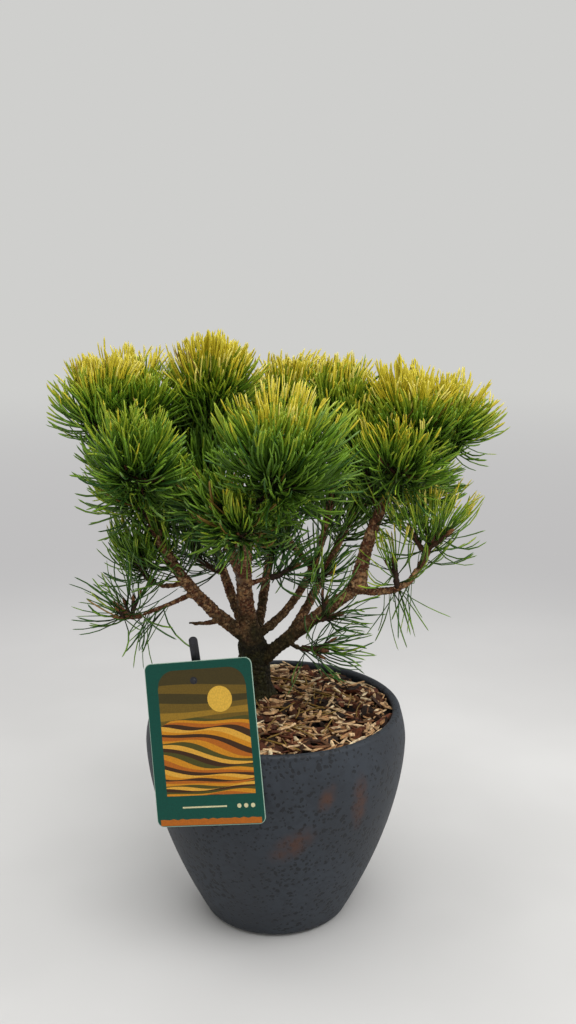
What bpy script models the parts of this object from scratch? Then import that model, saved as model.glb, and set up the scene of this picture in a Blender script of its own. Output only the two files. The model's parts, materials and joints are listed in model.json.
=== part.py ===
"""A potted mugo pine as closed solids.

Sizes in this file are millimetres. The origin is the middle of the pot's flat underside,
+X points right, +Y points away from the front and +Z points up.
"""

import math
import random
from collections import Counter, namedtuple

import bmesh
import bpy
import numpy as np

MM = 0.001
CLEAR = 0.3
SLIVER = 0.03
FLAT_ANGLE = math.radians(0.5)
UP = np.array([0.0, 0.0, 1.0])

# Pot and soil
POT_HEIGHT = 184.5
POT_FOOT_RADIUS = 54.0
POT_HEEL_RADIUS = 62.0
POT_BELLY_RADIUS = 111.9
POT_BELLY_SHARE = 0.85
POT_FULLNESS = 1.7
POT_RIM_RADIUS = 107.4
POT_EDGE_ROUND = 1.6
POT_WALL = 7.0
POT_FLOOR = 9.0
POT_SIDES = 36
SOIL_LEVEL = 179.5
SOIL_EDGE_DROP = 3.0
SOIL_MOUND = 3.0
SOIL_MOUND_RADIUS = 58.0
SOIL_LEVEL_RADIUS = 30.0
SOIL_UNEVEN = 1.5
SOIL_GAP = CLEAR + 0.15

# Trunk
TRUNK_FOOT = (-22.0, 23.0, SOIL_LEVEL + SOIL_MOUND + CLEAR)
TRUNK_VIA = (-19.0, 15.0, 211.0)
TRUNK_FORK = (-21.3, 7.0, 243.5)
TRUNK_RADIUS = 11.0
TRUNK_TAPER = 1.2
TRUNK_FLARE = 7.5
TRUNK_FLARE_HEIGHT = 9.0
TRUNK_SIDES = 12
ROOT_SHOULDER = 0.14
LIMB_COLLAR = 1.15
LIMB_END = 0.85

# Label
LABEL_WIDTH = 88.0
LABEL_HEIGHT = 127.0
LABEL_THICKNESS = 1.0
LABEL_CORNER = 5.5
LABEL_YAW = math.radians(14.6)
LABEL_LEAN = math.radians(13.5)
LABEL_ROLL = math.radians(9.1)
LABEL_CENTRE_X = -54.4
LABEL_CENTRE_Z = 191.0
HOLE_HEIGHT = 234.0
HOLE_RADIUS = 2.9
STAKE_TOP = (-64.1, -71.0, 268.5)
STAKE_FOOT = (-45.5, -70.0, 120.0)
STAKE_WIDTH = 7.0
STAKE_THICKNESS = 2.0
STAKE_CHAMFER = 2.0
NIB_RADIUS = 2.2
NIB_REACH = 1.6

# Shoots and needles
STEM_RADIUS = 2.9
SHOOT_RADIUS = 2.5
SHOOT_TAPER = 0.35
SHOOT_SIDES = 3
NEEDLE_PITCH = 4.4
NEEDLE_TWIST = math.radians(43.0)
NEEDLE_THICKNESS = 1.8
NEEDLE_SHORTEST = 15.0
NEEDLE_RISE = 0.12
TIP_SPLAY = 18.0
STEM_BARE_SHARE = 0.30
SHOOT_BARE_LENGTH = 6.5
SHOOT_RISE = 0.15
SHOOT_TIP_RISE = 0.25
SHOOT_TRIES = 6
SHOOT_TRY_TURN = 0.45
WHORL_STEP = 3.0
WHORL_BARE = 4.0

Tube = namedtuple("Tube", "path radii sides lobes")

# Each limb leaves its parent at a share of the parent's length and bends through one point.
Limb = namedtuple("Limb", "name parent share via end root_radius tip_radius sides")
LIMBS = (
    Limb("centre_bough", "trunk", 0.97, (-26, -13, 309), (-15, -60, 371), 6.6, 4.4, 8),
    Limb("left_bough", "trunk", 0.93, (-76, -11, 298), (-106, -20, 370), 5.4, 3.2, 7),
    Limb("middle_bough", "trunk", 0.95, (28, 19, 292), (51, 30, 387), 3.4, 2.3, 6),
    Limb("right_bough", "trunk", 0.50, (27, -8, 259), (68, -17, 293), 5.6, 4.6, 8),
    Limb("back_left_bough", "trunk", 0.80, (-48, 62, 286), (-65, 86, 353), 4.4, 2.6, 6),
    Limb("back_centre_bough", "trunk", 0.66, (-8, 72, 283), (4, 98, 356), 4.4, 2.6, 6),
    Limb("centre_left_bough", "centre_bough", 0.38, (-51, 4, 358), (-54, 10, 406), 3.9, 2.8, 6),
    Limb("centre_left_twig", "centre_left_bough", 0.42, (-64, 16, 365), (-74, 30, 385), 2.2, 1.8, 5),
    Limb("centre_small_twig", "centre_bough", 0.34, (-13, -10, 297), (-4, -12, 300), 1.8, 1.5, 5),
    Limb("middle_left_twig", "middle_bough", 0.48, (6, 42, 335), (5, 54, 395), 2.2, 1.8, 5),
    Limb("right_upper_bough", "right_bough", 1.0, (78, -14, 336), (96, -7, 376), 5.2, 3.4, 7),
    Limb("right_outer_bough", "right_bough", 0.98, (99, -26, 294), (118, -28, 314), 2.8, 2.2, 6),
    Limb("right_low_twig", "right_bough", 0.36, (17, -17, 241), (23, -22, 242), 2.0, 1.7, 5),
    Limb("back_right_bough", "right_bough", 0.40, (47, 44, 298), (78, 74, 359), 3.8, 2.5, 6),
    Limb("left_low_twig", "left_bough", 0.42, (-92, -18, 277), (-110, -26, 272), 1.8, 1.5, 5),
    Limb("left_middle_twig", "left_bough", 0.50, (-90, -7, 291), (-101, -4, 293), 1.8, 1.5, 5),
    Limb("left_dead_stub", "left_bough", 0.20, (-62, -6, 258), (-73, -10, 260), 1.9, 1.2, 5),
)

# Each mass has one stem, which leaves its bough, passes the whorl of side shoots and ends at a tip.
Mass = namedtuple("Mass", "name bough share whorl tip shoots reach open length splay")
MASSES = (
    Mass("left_outer_tuft", "left_bough", 1.0, (-136, -15, 428), (-145, -15, 448), 3, 22, 50, 46, 66),
    Mass("left_top_tuft", "left_bough", 1.0, (-114, 2, 429), (-112, 2, 449), 4, 26, 48, 46, 66),
    Mass("left_front_tuft", "left_bough", 1.0, (-107, -48, 394), (-102, -60, 413), 4, 24, 62, 45, 74),
    Mass("left_under_tuft", "left_bough", 0.90, (-108, -27, 363), (-115, -28, 371), 2, 14, 55, 38, 72),
    Mass("left_rear_tuft", "left_bough", 0.78, (-88, 26, 364), (-86, 36, 380), 3, 22, 60, 42, 78),
    Mass("left_middle_tuft", "left_middle_twig", 1.0, (-110, -5, 302), (-120, -5, 317), 2, 18, 58, 40, 72),
    Mass("left_low_tuft", "left_low_twig", 1.0, (-119, -30, 272), (-128, -31, 281), 2, 14, 62, 42, 106),
    Mass("back_left_low_tuft", "back_left_bough", 0.50, (-72, 50, 304), (-75, 52, 322), 1, 16, 50, 40, 74),
    Mass("centre_left_top_tuft", "centre_left_bough", 1.0, (-52, 10, 442), (-48, 8, 462), 5, 28, 46, 49, 66),
    Mass("centre_left_rear_tuft", "centre_left_twig", 1.0, (-79, 40, 405), (-83, 46, 424), 2, 22, 48, 42, 70),
    Mass("front_tuft", "centre_bough", 1.0, (4, -80, 396), (11, -90, 417), 5, 36, 58, 48, 76),
    Mass("front_low_tuft", "centre_bough", 0.84, (-24, -62, 352), (-27, -80, 366), 3, 18, 68, 40, 80),
    Mass("front_left_tuft", "centre_bough", 0.92, (-50, -56, 368), (-60, -60, 378), 1, 16, 55, 38, 74),
    Mass("centre_right_top_tuft", "middle_bough", 1.0, (54, 30, 421), (58, 30, 443), 4, 30, 46, 45, 64),
    Mass("inner_top_tuft", "right_upper_bough", 0.72, (74, 4, 400), (75, 1, 419), 2, 18, 46, 40, 68),
    Mass("centre_top_tuft", "middle_left_twig", 1.0, (10, 52, 429), (13, 50, 449), 3, 24, 46, 42, 66),
    Mass("centre_rear_tuft", "middle_left_twig", 0.52, (28, 68, 366), (32, 75, 384), 2, 20, 52, 42, 76),
    Mass("right_top_tuft", "right_upper_bough", 1.0, (113, -4, 414), (118, -6, 437), 5, 36, 50, 46, 64),
    Mass("right_outer_tuft", "right_upper_bough", 0.97, (138, -12, 413), (149, -13, 428), 2, 22, 50, 44, 72),
    Mass("right_middle_tuft", "right_upper_bough", 0.90, (99, -28, 393), (104, -42, 408), 3, 24, 60, 42, 78),
    Mass("right_low_tuft", "right_outer_bough", 1.0, (124, -30, 330), (130, -31, 350), 3, 22, 52, 50, 80),
    Mass("right_small_tuft", "right_outer_bough", 0.58, (98, -29, 308), (96, -34, 319), 0, 0, 40, 38, 66),
    Mass("inner_right_tuft", "middle_bough", 0.42, (34, 10, 292), (45, 3, 300), 1, 14, 50, 38, 66),
    Mass("inner_left_tuft", "middle_left_twig", 0.22, (-2, 16, 322), (-8, 6, 334), 1, 16, 55, 38, 74),
    Mass("low_right_tuft", "right_bough", 0.64, (39, -22, 267), (52, -28, 273), 1, 14, 50, 40, 66),
    Mass("low_front_tuft", "right_low_twig", 1.0, (28, -29, 244), (38, -36, 245), 1, 12, 50, 38, 66),
    Mass("inner_small_tuft", "centre_small_twig", 1.0, (6, -13, 304), (15, -13, 309), 0, 0, 40, 34, 66),
    Mass("back_left_tuft", "back_left_bough", 1.0, (-71, 98, 389), (-73, 102, 410), 3, 28, 54, 46, 74),
    Mass("back_left_outer_tuft", "back_left_bough", 0.92, (-108, 84, 363), (-123, 84, 375), 3, 24, 54, 46, 74),
    Mass("back_centre_tuft", "back_centre_bough", 1.0, (0, 108, 395), (-2, 114, 415), 4, 28, 54, 48, 74),
    Mass("back_low_tuft", "back_centre_bough", 0.86, (12, 128, 348), (16, 144, 355), 2, 22, 55, 46, 80),
    Mass("back_right_tuft", "back_right_bough", 1.0, (86, 78, 394), (90, 82, 415), 4, 28, 54, 48, 74),
    Mass("back_right_outer_tuft", "back_right_bough", 0.90, (112, 86, 349), (127, 94, 359), 3, 22, 52, 46, 78),
)

COLOURS = {
    "pot": (0.060, 0.072, 0.088),
    "soil": (0.16, 0.10, 0.06),
    "label_card": (0.62, 0.40, 0.10),
    "label_stake": (0.01, 0.01, 0.01),
    "bark": (0.17, 0.10, 0.055),
    "needles": (0.10, 0.20, 0.05),
}


def vector(point):
    return np.array(point, dtype=float)


def unit(v):
    return v / np.linalg.norm(v)


def curve(start, via, end, count):
    """Points on a parabola that passes the middle point half way along."""
    control = 2.0 * via - 0.5 * (start + end)
    t = np.linspace(0.0, 1.0, count)[:, None]
    return (1 - t) ** 2 * start + 2 * t * (1 - t) * control + t**2 * end


def point_along(path, share):
    """The point at a share of a path's length."""
    steps = np.linalg.norm(np.diff(path, axis=0), axis=1)
    reached = np.concatenate([[0.0], np.cumsum(steps)])
    wanted = share * reached[-1]
    return np.array([np.interp(wanted, reached, path[:, axis]) for axis in range(3)])


def side_axes(direction):
    """Two directions square to the given one and to each other."""
    helper = UP if abs(direction[2]) < 0.8 else np.array([1.0, 0.0, 0.0])
    first = unit(np.cross(helper, direction))
    return first, np.cross(direction, first)


def new_object(name, verts, faces, colour=None):
    mesh = bpy.data.meshes.new(name)
    mesh.from_pydata([tuple(v * MM) for v in verts], [], faces)
    mesh.update()
    obj = bpy.data.objects.new(name, mesh)
    bpy.context.scene.collection.objects.link(obj)
    if colour is not None:
        paint(obj, colour)
    return obj


def paint(obj, colour):
    material = bpy.data.materials.new(obj.name)
    material.use_nodes = True
    shader = material.node_tree.nodes["Principled BSDF"]
    shader.inputs["Base Color"].default_value = (*COLOURS[colour], 1.0)
    shader.inputs["Roughness"].default_value = 0.8
    obj.data.materials.clear()
    obj.data.materials.append(material)


def tube(name, shape):
    """A closed tapered tube.

    Lobes, for the trunk alone, gives each ring's swelling by ring and angle; its foot is cut level.
    """
    path, radii, sides, lobes = shape
    tangents = np.gradient(path, axis=0)
    first, _ = side_axes(unit(tangents[0]))
    verts = []
    for ring, (point, tangent, radius) in enumerate(zip(path, tangents, radii)):
        axis = unit(tangent)
        first = unit(first - axis * np.dot(first, axis))
        second = np.cross(axis, first)
        for side in range(sides):
            turn = 2 * math.pi * side / sides
            swell = 1.0 if lobes is None else lobes(ring, turn)
            corner = point + radius * swell * (math.cos(turn) * first + math.sin(turn) * second)
            if lobes is not None and ring == 0:
                corner[2] = point[2]
            verts.append(corner)
    faces = [tuple(reversed(range(sides)))]
    for ring in range(len(path) - 1):
        for side in range(sides):
            a = ring * sides + side
            b = ring * sides + (side + 1) % sides
            faces.append((a, b, b + sides))
            faces.append((a, b + sides, a + sides))
    last = (len(path) - 1) * sides
    faces.append(tuple(range(last, last + sides)))
    return new_object(name, verts, faces)


def lathe(name, profile, sides, lift=None):
    """A solid of revolution whose profile starts and ends on the axis; lift moves a point up."""
    verts = []
    rings = []
    for radius, height in profile:
        if radius == 0.0:
            rings.append([len(verts)])
            verts.append(vector((0.0, 0.0, height)))
            continue
        ring = []
        for side in range(sides):
            turn = 2 * math.pi * side / sides
            point = vector((radius * math.cos(turn), radius * math.sin(turn), height))
            if lift is not None:
                point[2] += lift(point)
            ring.append(len(verts))
            verts.append(point)
        rings.append(ring)
    faces = []
    for low, high in zip(rings, rings[1:]):
        for side in range(sides):
            after = (side + 1) % sides
            if len(low) == 1:
                faces.append((low[0], high[after], high[side]))
            elif len(high) == 1:
                faces.append((low[side], low[after], high[0]))
            else:
                faces.append((low[side], low[after], high[after]))
                faces.append((low[side], high[after], high[side]))
    return new_object(name, verts, faces)


def slab(name, outline, axes, centre, thickness):
    """A flat plate whose outline is given in two of the three axes."""
    right, up, out = axes
    count = len(outline)
    verts = []
    for depth in (-thickness / 2, thickness / 2):
        verts += [centre + x * right + y * up + depth * out for x, y in outline]
    faces = [tuple(reversed(range(count))), tuple(range(count, 2 * count))]
    for i in range(count):
        j = (i + 1) % count
        faces.append((i, j, j + count, i + count))
    return new_object(name, verts, faces)


def apply_modifiers(obj):
    graph = bpy.context.evaluated_depsgraph_get()
    mesh = bpy.data.meshes.new_from_object(obj.evaluated_get(graph))
    obj.modifiers.clear()
    obj.data = mesh


def remove(objects):
    for obj in objects:
        bpy.data.objects.remove(obj, do_unlink=True)


def cut(obj, cutters):
    """Take the cutters out of a solid, then remove them."""
    for cutter in cutters:
        modifier = obj.modifiers.new("cut", "BOOLEAN")
        modifier.operation = "DIFFERENCE"
        modifier.solver = "EXACT"
        modifier.object = cutter
    apply_modifiers(obj)
    remove(cutters)
    keep_largest_shell(obj)


def join(obj, members):
    """Fuse a collection of solids onto one solid."""
    group = bpy.data.collections.new("members")
    bpy.context.scene.collection.children.link(group)
    for member in members:
        group.objects.link(member)
    modifier = obj.modifiers.new("join", "BOOLEAN")
    modifier.operation = "UNION"
    modifier.solver = "MANIFOLD"
    modifier.operand_type = "COLLECTION"
    modifier.collection = group
    apply_modifiers(obj)
    remove(members)
    bpy.data.collections.remove(group)
    keep_largest_shell(obj)


def keep_largest_shell(obj):
    """Drop loose scraps, the shells of sealed hollows and, where the solid stays closed, slivers."""
    work = bmesh.new()
    work.from_mesh(obj.data)
    bmesh.ops.triangulate(work, faces=work.faces[:])
    waiting = set(work.verts)
    shells = []
    while waiting:
        shell = set()
        edge_of_search = [waiting.pop()]
        while edge_of_search:
            vert = edge_of_search.pop()
            shell.add(vert)
            for edge in vert.link_edges:
                other = edge.other_vert(vert)
                if other in waiting:
                    waiting.remove(other)
                    edge_of_search.append(other)
        shells.append(shell)
    main = max(shells, key=len)
    bmesh.ops.delete(work, geom=[v for v in work.verts if v not in main], context="VERTS")
    bmesh.ops.dissolve_limit(work, angle_limit=FLAT_ANGLE, verts=work.verts[:], edges=work.edges[:])
    bmesh.ops.triangulate(work, faces=work.faces[:])
    work.to_mesh(obj.data)
    bmesh.ops.dissolve_degenerate(work, dist=SLIVER * MM, edges=work.edges[:])
    bmesh.ops.triangulate(work, faces=work.faces[:])
    if all(part.is_manifold for part in work.edges[:] + work.verts[:]):
        work.to_mesh(obj.data)
    work.free()


def pot_outside():
    """Radius and height up the outside of the pot, from its foot to its lip."""
    belly_height = POT_BELLY_SHARE * POT_HEIGHT
    points = [(POT_FOOT_RADIUS, 0.0), (POT_HEEL_RADIUS - 1.2, POT_EDGE_ROUND)]
    for share in (0.03, 0.10, 0.22, 0.36, 0.52, 0.68, POT_BELLY_SHARE):
        height = share * POT_HEIGHT
        fullness = 1.0 - (1.0 - height / belly_height) ** POT_FULLNESS
        points.append((POT_HEEL_RADIUS + (POT_BELLY_RADIUS - POT_HEEL_RADIUS) * fullness, height))
    points.append((POT_RIM_RADIUS + 1.0, POT_HEIGHT - 6.0))
    points.append((POT_RIM_RADIUS, POT_HEIGHT - POT_EDGE_ROUND))
    return points


def pot_inside():
    """Radius and height down the inside of the pot, from its lip to its floor."""
    wall = [(radius - POT_WALL, height) for radius, height in pot_outside() if height > POT_FLOOR + 8.0]
    wall = wall[0:1] + wall[2:]
    points = [(POT_RIM_RADIUS - share * POT_WALL, POT_HEIGHT) for share in (0.27, 0.73)]
    points += list(reversed(wall))
    points.append((wall[0][0] - 5.0, POT_FLOOR))
    return points


def make_pot():
    profile = [(0.0, 0.0)] + pot_outside() + pot_inside() + [(0.0, POT_FLOOR)]
    obj = lathe("pot", profile, POT_SIDES)
    paint(obj, "pot")


def inner_radius(height):
    """Radius of the pot's inside at a height."""
    heights = [h for _, h in reversed(pot_inside())]
    radii = [r for r, _ in reversed(pot_inside())]
    return float(np.interp(height, heights, radii))


def soil_lift(point):
    """Unevenness of the mulch, with a mound that is level under the trunk."""
    if point[2] < SOIL_LEVEL:
        return 0.0
    wave = math.sin(point[0] * 0.11 + 1.0) * math.cos(point[1] * 0.13) + 0.6 * math.sin(point[1] * 0.21)
    from_trunk = math.hypot(point[0] - TRUNK_FOOT[0], point[1] - TRUNK_FOOT[1])
    away = (from_trunk - SOIL_LEVEL_RADIUS) / (SOIL_MOUND_RADIUS - SOIL_LEVEL_RADIUS)
    away = min(1.0, max(0.0, away))
    return SOIL_MOUND * (1.0 - away) + SOIL_UNEVEN * wave * away


def make_soil():
    floor = POT_FLOOR + SOIL_GAP
    edge = SOIL_LEVEL - SOIL_EDGE_DROP
    side = [(r - SOIL_GAP, h) for r, h in reversed(pot_inside()) if floor + 1.0 < h < edge - 3.0]
    edge_radius = inner_radius(edge) - SOIL_GAP
    top = [(edge_radius, edge)]
    top += [(edge_radius * share, SOIL_LEVEL) for share in (0.93, 0.72, 0.5, 0.28)]
    foot = [(0.0, floor), (pot_inside()[-1][0] - SOIL_GAP - 0.4, floor)]
    obj = lathe("soil", foot + side + top + [(0.0, SOIL_LEVEL)], POT_SIDES, soil_lift)
    cut(obj, [stake_blade("stake_pocket", CLEAR)])
    paint(obj, "soil")


def label_axes():
    """Right, up and outward directions of the card."""
    level = np.array([math.cos(LABEL_YAW), -math.sin(LABEL_YAW), 0.0])
    front = np.array([-math.sin(LABEL_YAW), -math.cos(LABEL_YAW), 0.0])
    rise = math.cos(LABEL_LEAN) * UP - math.sin(LABEL_LEAN) * front
    out = math.cos(LABEL_LEAN) * front + math.sin(LABEL_LEAN) * UP
    right = math.cos(LABEL_ROLL) * level + math.sin(LABEL_ROLL) * rise
    up = -math.sin(LABEL_ROLL) * level + math.cos(LABEL_ROLL) * rise
    return right, up, out


def label_centre():
    """The card's middle, set so that its back lies just clear of the pot's rim."""
    out = label_axes()[2]
    slope = math.hypot(out[0], out[1])
    reach = max(radius * slope + height * out[2] for radius, height in pot_outside() + pot_inside())
    reach += CLEAR + 0.05 + LABEL_THICKNESS / 2
    y = (reach - LABEL_CENTRE_X * out[0] - LABEL_CENTRE_Z * out[2]) / out[1]
    return vector((LABEL_CENTRE_X, y, LABEL_CENTRE_Z))


def rounded_outline(width, height, corner, steps):
    points = []
    for quarter in range(4):
        sign_x = (1, -1, -1, 1)[quarter]
        sign_y = (1, 1, -1, -1)[quarter]
        centre = (sign_x * (width / 2 - corner), sign_y * (height / 2 - corner))
        for step in range(steps + 1):
            turn = math.pi / 2 * (quarter + step / steps)
            points.append((centre[0] + corner * math.cos(turn), centre[1] + corner * math.sin(turn)))
    return points


def stake_point(height):
    """A point on the stake's middle line."""
    top, foot = vector(STAKE_TOP), vector(STAKE_FOOT)
    return foot + (top - foot) * (height - foot[2]) / (top[2] - foot[2])


def hole_centre():
    """The middle of the card's hole, straight in front of the stake."""
    out = label_axes()[2]
    behind = stake_point(HOLE_HEIGHT)
    return behind + out * np.dot(label_centre() - behind, out)


def make_label_card():
    right, up, out = label_axes()
    outline = rounded_outline(LABEL_WIDTH, LABEL_HEIGHT, LABEL_CORNER, 4)
    obj = slab("label_card", outline, (right, up, out), label_centre(), LABEL_THICKNESS)
    path = np.array([hole_centre() - 4.0 * out, hole_centre() + 4.0 * out])
    cut(obj, [tube("label_hole", Tube(path, (HOLE_RADIUS, HOLE_RADIUS), 12, None))])
    paint(obj, "label_card")


def stake_blade(name, grow):
    """The flat strip of the stake, made larger all round by grow."""
    top, foot = vector(STAKE_TOP), vector(STAKE_FOOT)
    up = unit(top - foot)
    right = label_axes()[0]
    out = unit(np.cross(right, up))
    right = np.cross(up, out)
    half = STAKE_WIDTH / 2 + grow
    end = np.linalg.norm(top - foot) / 2 + grow
    inset = half - STAKE_CHAMFER
    outline = [(-half, -end), (half, -end), (half, end - STAKE_CHAMFER)]
    outline += [(inset, end), (-inset, end), (-half, end - STAKE_CHAMFER)]
    return slab(name, outline, (right, up, out), (top + foot) / 2, STAKE_THICKNESS + 2 * grow)


def make_label_stake():
    obj = stake_blade("label_stake", 0.0)
    out = label_axes()[2]
    nib = np.array([stake_point(HOLE_HEIGHT), hole_centre() + NIB_REACH * out])
    join(obj, [tube("stake_nib", Tube(nib, (NIB_RADIUS, NIB_RADIUS), 8, None))])
    paint(obj, "label_stake")


def trunk_path():
    return curve(vector(TRUNK_FOOT), vector(TRUNK_VIA), vector(TRUNK_FORK), 8)


def trunk_radii(path):
    """The trunk's radius, wide at the soil, with its top rounded in at the fork."""
    rise = path[:, 2] - path[0, 2]
    radii = TRUNK_RADIUS + TRUNK_FLARE * np.exp(-rise / TRUNK_FLARE_HEIGHT)
    radii += TRUNK_TAPER * (1.0 - rise / rise[-1])
    radii[-1] *= 0.72
    return radii


def root_lobes(ring, turn):
    """Three root shoulders that fade out above the soil."""
    return 1.0 + ROOT_SHOULDER * math.exp(-ring / 1.1) * math.cos(3 * turn + 0.6)


def limb_tubes():
    """The shape of the trunk and every limb, by name."""
    path = trunk_path()
    limbs = {"trunk": Tube(path, trunk_radii(path), TRUNK_SIDES, root_lobes)}
    for limb in LIMBS:
        start = point_along(limbs[limb.parent].path, limb.share)
        via, end = vector(limb.via), vector(limb.end)
        length = np.linalg.norm(end - start)
        path = curve(start, via, end, 3 + int(length // 24))
        share = np.linspace(0.0, 1.0, len(path))
        radii = limb.root_radius + (limb.tip_radius - limb.root_radius) * share
        radii[0] *= LIMB_COLLAR
        radii[-1] *= LIMB_END
        limbs[limb.name] = Tube(path, radii, limb.sides, None)
    return limbs


def grown(shape):
    """A tube made larger all round by the clearance, to cut its neighbours clear."""
    path = shape.path.copy()
    path[0] -= CLEAR * unit(path[1] - path[0])
    path[-1] += CLEAR * unit(path[-1] - path[-2])
    return shape._replace(path=path, radii=shape.radii + CLEAR * 1.12)


def segments_of(path):
    return np.stack([path[:-1], path[1:]], axis=1)


def distance_to_segments(points, segments):
    """Distance from each point to each segment."""
    start = segments[None, :, 0]
    along = segments[None, :, 1] - start
    offset = points[:, None] - start
    share = np.clip((offset * along).sum(2) / (along * along).sum(2), 0.0, 1.0)
    return np.linalg.norm(offset - share[..., None] * along, axis=2)


def barrier_of(limbs):
    """Segments and radii of all the limbs, which no shoot or needle may touch."""
    segments = np.concatenate([segments_of(limb.path) for limb in limbs.values()])
    radii = np.concatenate([np.maximum(limb.radii[:-1], limb.radii[1:]) for limb in limbs.values()])
    return segments, radii


def make_limbs(limbs):
    """Every limb, each cut clear of those made before it that it comes near."""
    made = []
    for name, limb in limbs.items():
        obj = tube(name, limb)
        near = []
        for other in made:
            gap = distance_to_segments(limb.path, segments_of(other.path)).min()
            if gap < limb.radii.max() + other.radii.max() + 2.0:
                near.append(tube("cutter", grown(other)))
        if near:
            cut(obj, near)
        paint(obj, "bark")
        made.append(limb)


def stem_of(mass, limbs):
    """Centre line of a mass's stem, from inside its bough past the whorl to the tip."""
    root = point_along(limbs[mass.bough].path, mass.share)
    whorl, tip = vector(mass.whorl), vector(mass.tip)
    reach = whorl - root
    span = np.linalg.norm(reach)
    level = unit(np.array([reach[0], reach[1], 0.5 * reach[2]]))
    middle = (root + whorl) / 2 + 0.10 * span * level - 0.05 * span * UP
    return np.vstack([curve(root, middle, whorl, 4), tip])


def side_shoot(mass, number, turn, chance):
    """Centre line of one side shoot, which leaves the whorl and turns up a little."""
    whorl = vector(mass.whorl)
    axis = unit(vector(mass.tip) - whorl)
    first, second = side_axes(axis)
    angle = math.radians(mass.open * chance.uniform(0.85, 1.15))
    heading = axis * math.cos(angle) + (first * math.cos(turn) + second * math.sin(turn)) * math.sin(angle)
    heading = unit(heading + SHOOT_RISE * UP)
    length = mass.reach * chance.uniform(0.85, 1.12)
    foot = whorl - axis * WHORL_STEP * number
    knee = foot + heading * length * 0.5
    return np.array([foot, knee, knee + unit(heading + SHOOT_TIP_RISE * UP) * length * 0.5])


def is_clear(path, segments, radii):
    """Whether a shoot's centre line, past its foot, keeps off the given limbs."""
    points = np.array([point_along(path, share) for share in np.linspace(0.2, 1.0, 9)])
    return ((distance_to_segments(points, segments) - radii) > SHOOT_RADIUS + 1.0).all()


def plan_shoots(limbs):
    """Every mass's stem and side shoots; a side shoot with no clear way on any turn is left out."""
    shoots = {mass.name: [stem_of(mass, limbs)] for mass in MASSES}
    limb_segments, limb_radii = barrier_of(limbs)
    for mass in MASSES:
        chance = random.Random(mass.name)
        start_turn = chance.uniform(0.0, 2 * math.pi)
        others = [segments_of(path) for name, paths in shoots.items() if name != mass.name for path in paths]
        barrier = np.concatenate([limb_segments] + others)
        widths = np.concatenate([limb_radii] + [np.full(len(other), STEM_RADIUS) for other in others])
        for number in range(mass.shoots):
            turn = start_turn + 2 * math.pi * (number + chance.uniform(-0.15, 0.15)) / mass.shoots
            for attempt in range(SHOOT_TRIES):
                path = side_shoot(mass, number, turn + SHOOT_TRY_TURN * attempt, chance)
                if is_clear(path, barrier, widths):
                    shoots[mass.name].append(path)
                    break
    return shoots


class Space:
    """Where each shoot may grow: nearer to itself than to any other, clear of limbs, pot and label."""

    def __init__(self, limbs, shoots_by_mass):
        segments, radii = barrier_of(limbs)
        stake = np.array([STAKE_FOOT, STAKE_TOP])[None]
        self.limb_segments = np.concatenate([segments, stake])
        self.limb_radii = np.append(radii, STAKE_WIDTH / 2 + 1.0)
        self.shoots = {}
        for name, shoots in shoots_by_mass.items():
            for number, path in enumerate(shoots):
                self.shoots[name, number] = segments_of(path)

    def others(self, name, number):
        """Segments of the other masses' shoots, and of the same mass's other shoots."""
        strangers = [v for key, v in self.shoots.items() if key[0] != name]
        siblings = [v for key, v in self.shoots.items() if key[0] == name and key[1] != number]
        return np.concatenate(strangers), np.concatenate(siblings) if siblings else None

    def free_share(self, key, start, end):
        """The share of a straight needle, from its root, that stays in the shoot's space."""
        shares = np.linspace(0.12, 1.0, 12)
        points = start + shares[:, None] * (end - start)
        thick = NEEDLE_THICKNESS * (1.0 - shares)
        strangers, siblings = self.others(*key)
        own = distance_to_segments(points, self.shoots[key]).min(1)
        free = distance_to_segments(points, strangers).min(1) - own > 2 * thick + CLEAR + 0.1
        if siblings is not None:
            free &= distance_to_segments(points, siblings).min(1) - own > 2 * thick
        limb_gap = (distance_to_segments(points, self.limb_segments) - self.limb_radii).min(1)
        free &= limb_gap > thick + CLEAR + 0.2
        across = np.hypot(points[:, 0], points[:, 1])
        free &= (points[:, 2] > POT_HEIGHT + 3.0) | (across > POT_BELLY_RADIUS + 3.0)
        right, up, out = label_axes()
        from_card = points - label_centre()
        beside = np.abs(from_card @ right) > LABEL_WIDTH / 2 + 2.5
        beside |= np.abs(from_card @ up) > LABEL_HEIGHT / 2 + 2.5
        beside |= np.abs(from_card @ out) > 4.0
        free &= beside
        blocked = np.flatnonzero(~free)
        if len(blocked) == 0:
            return 1.0
        return 0.0 if blocked[0] == 0 else float(shares[blocked[0] - 1])


def shoot_rings(path, radius, bare_share):
    """Ring centres and radii of a shoot, close together where needles stand."""
    length = np.linalg.norm(np.diff(path, axis=0), axis=1).sum()
    count = max(3, round(length * (1.0 - bare_share) / NEEDLE_PITCH))
    shares = np.concatenate([[0.0], np.linspace(bare_share, 1.0, count + 1)])
    centres = np.array([point_along(path, share) for share in shares])
    return centres, radius * (1.0 - SHOOT_TAPER * shares)


def needle_tip(mass, key, centre, outward, axis, along, space, chance):
    """The tip of a needle that leans out from its shoot, or None where it has no room."""
    base_splay = mass.splay - TIP_SPLAY
    angle = math.radians(TIP_SPLAY + base_splay * (1.0 - along) ** 0.8 + chance.uniform(-7, 7))
    heading = unit(axis * math.cos(angle) + outward * math.sin(angle) + NEEDLE_RISE * UP)
    if np.dot(heading, outward) < 0.10 and along < 1.0:
        return None
    length = mass.length * chance.uniform(0.86, 1.06)
    length *= space.free_share(key, centre, centre + heading * length)
    return centre + heading * length if length > NEEDLE_SHORTEST else None


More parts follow.
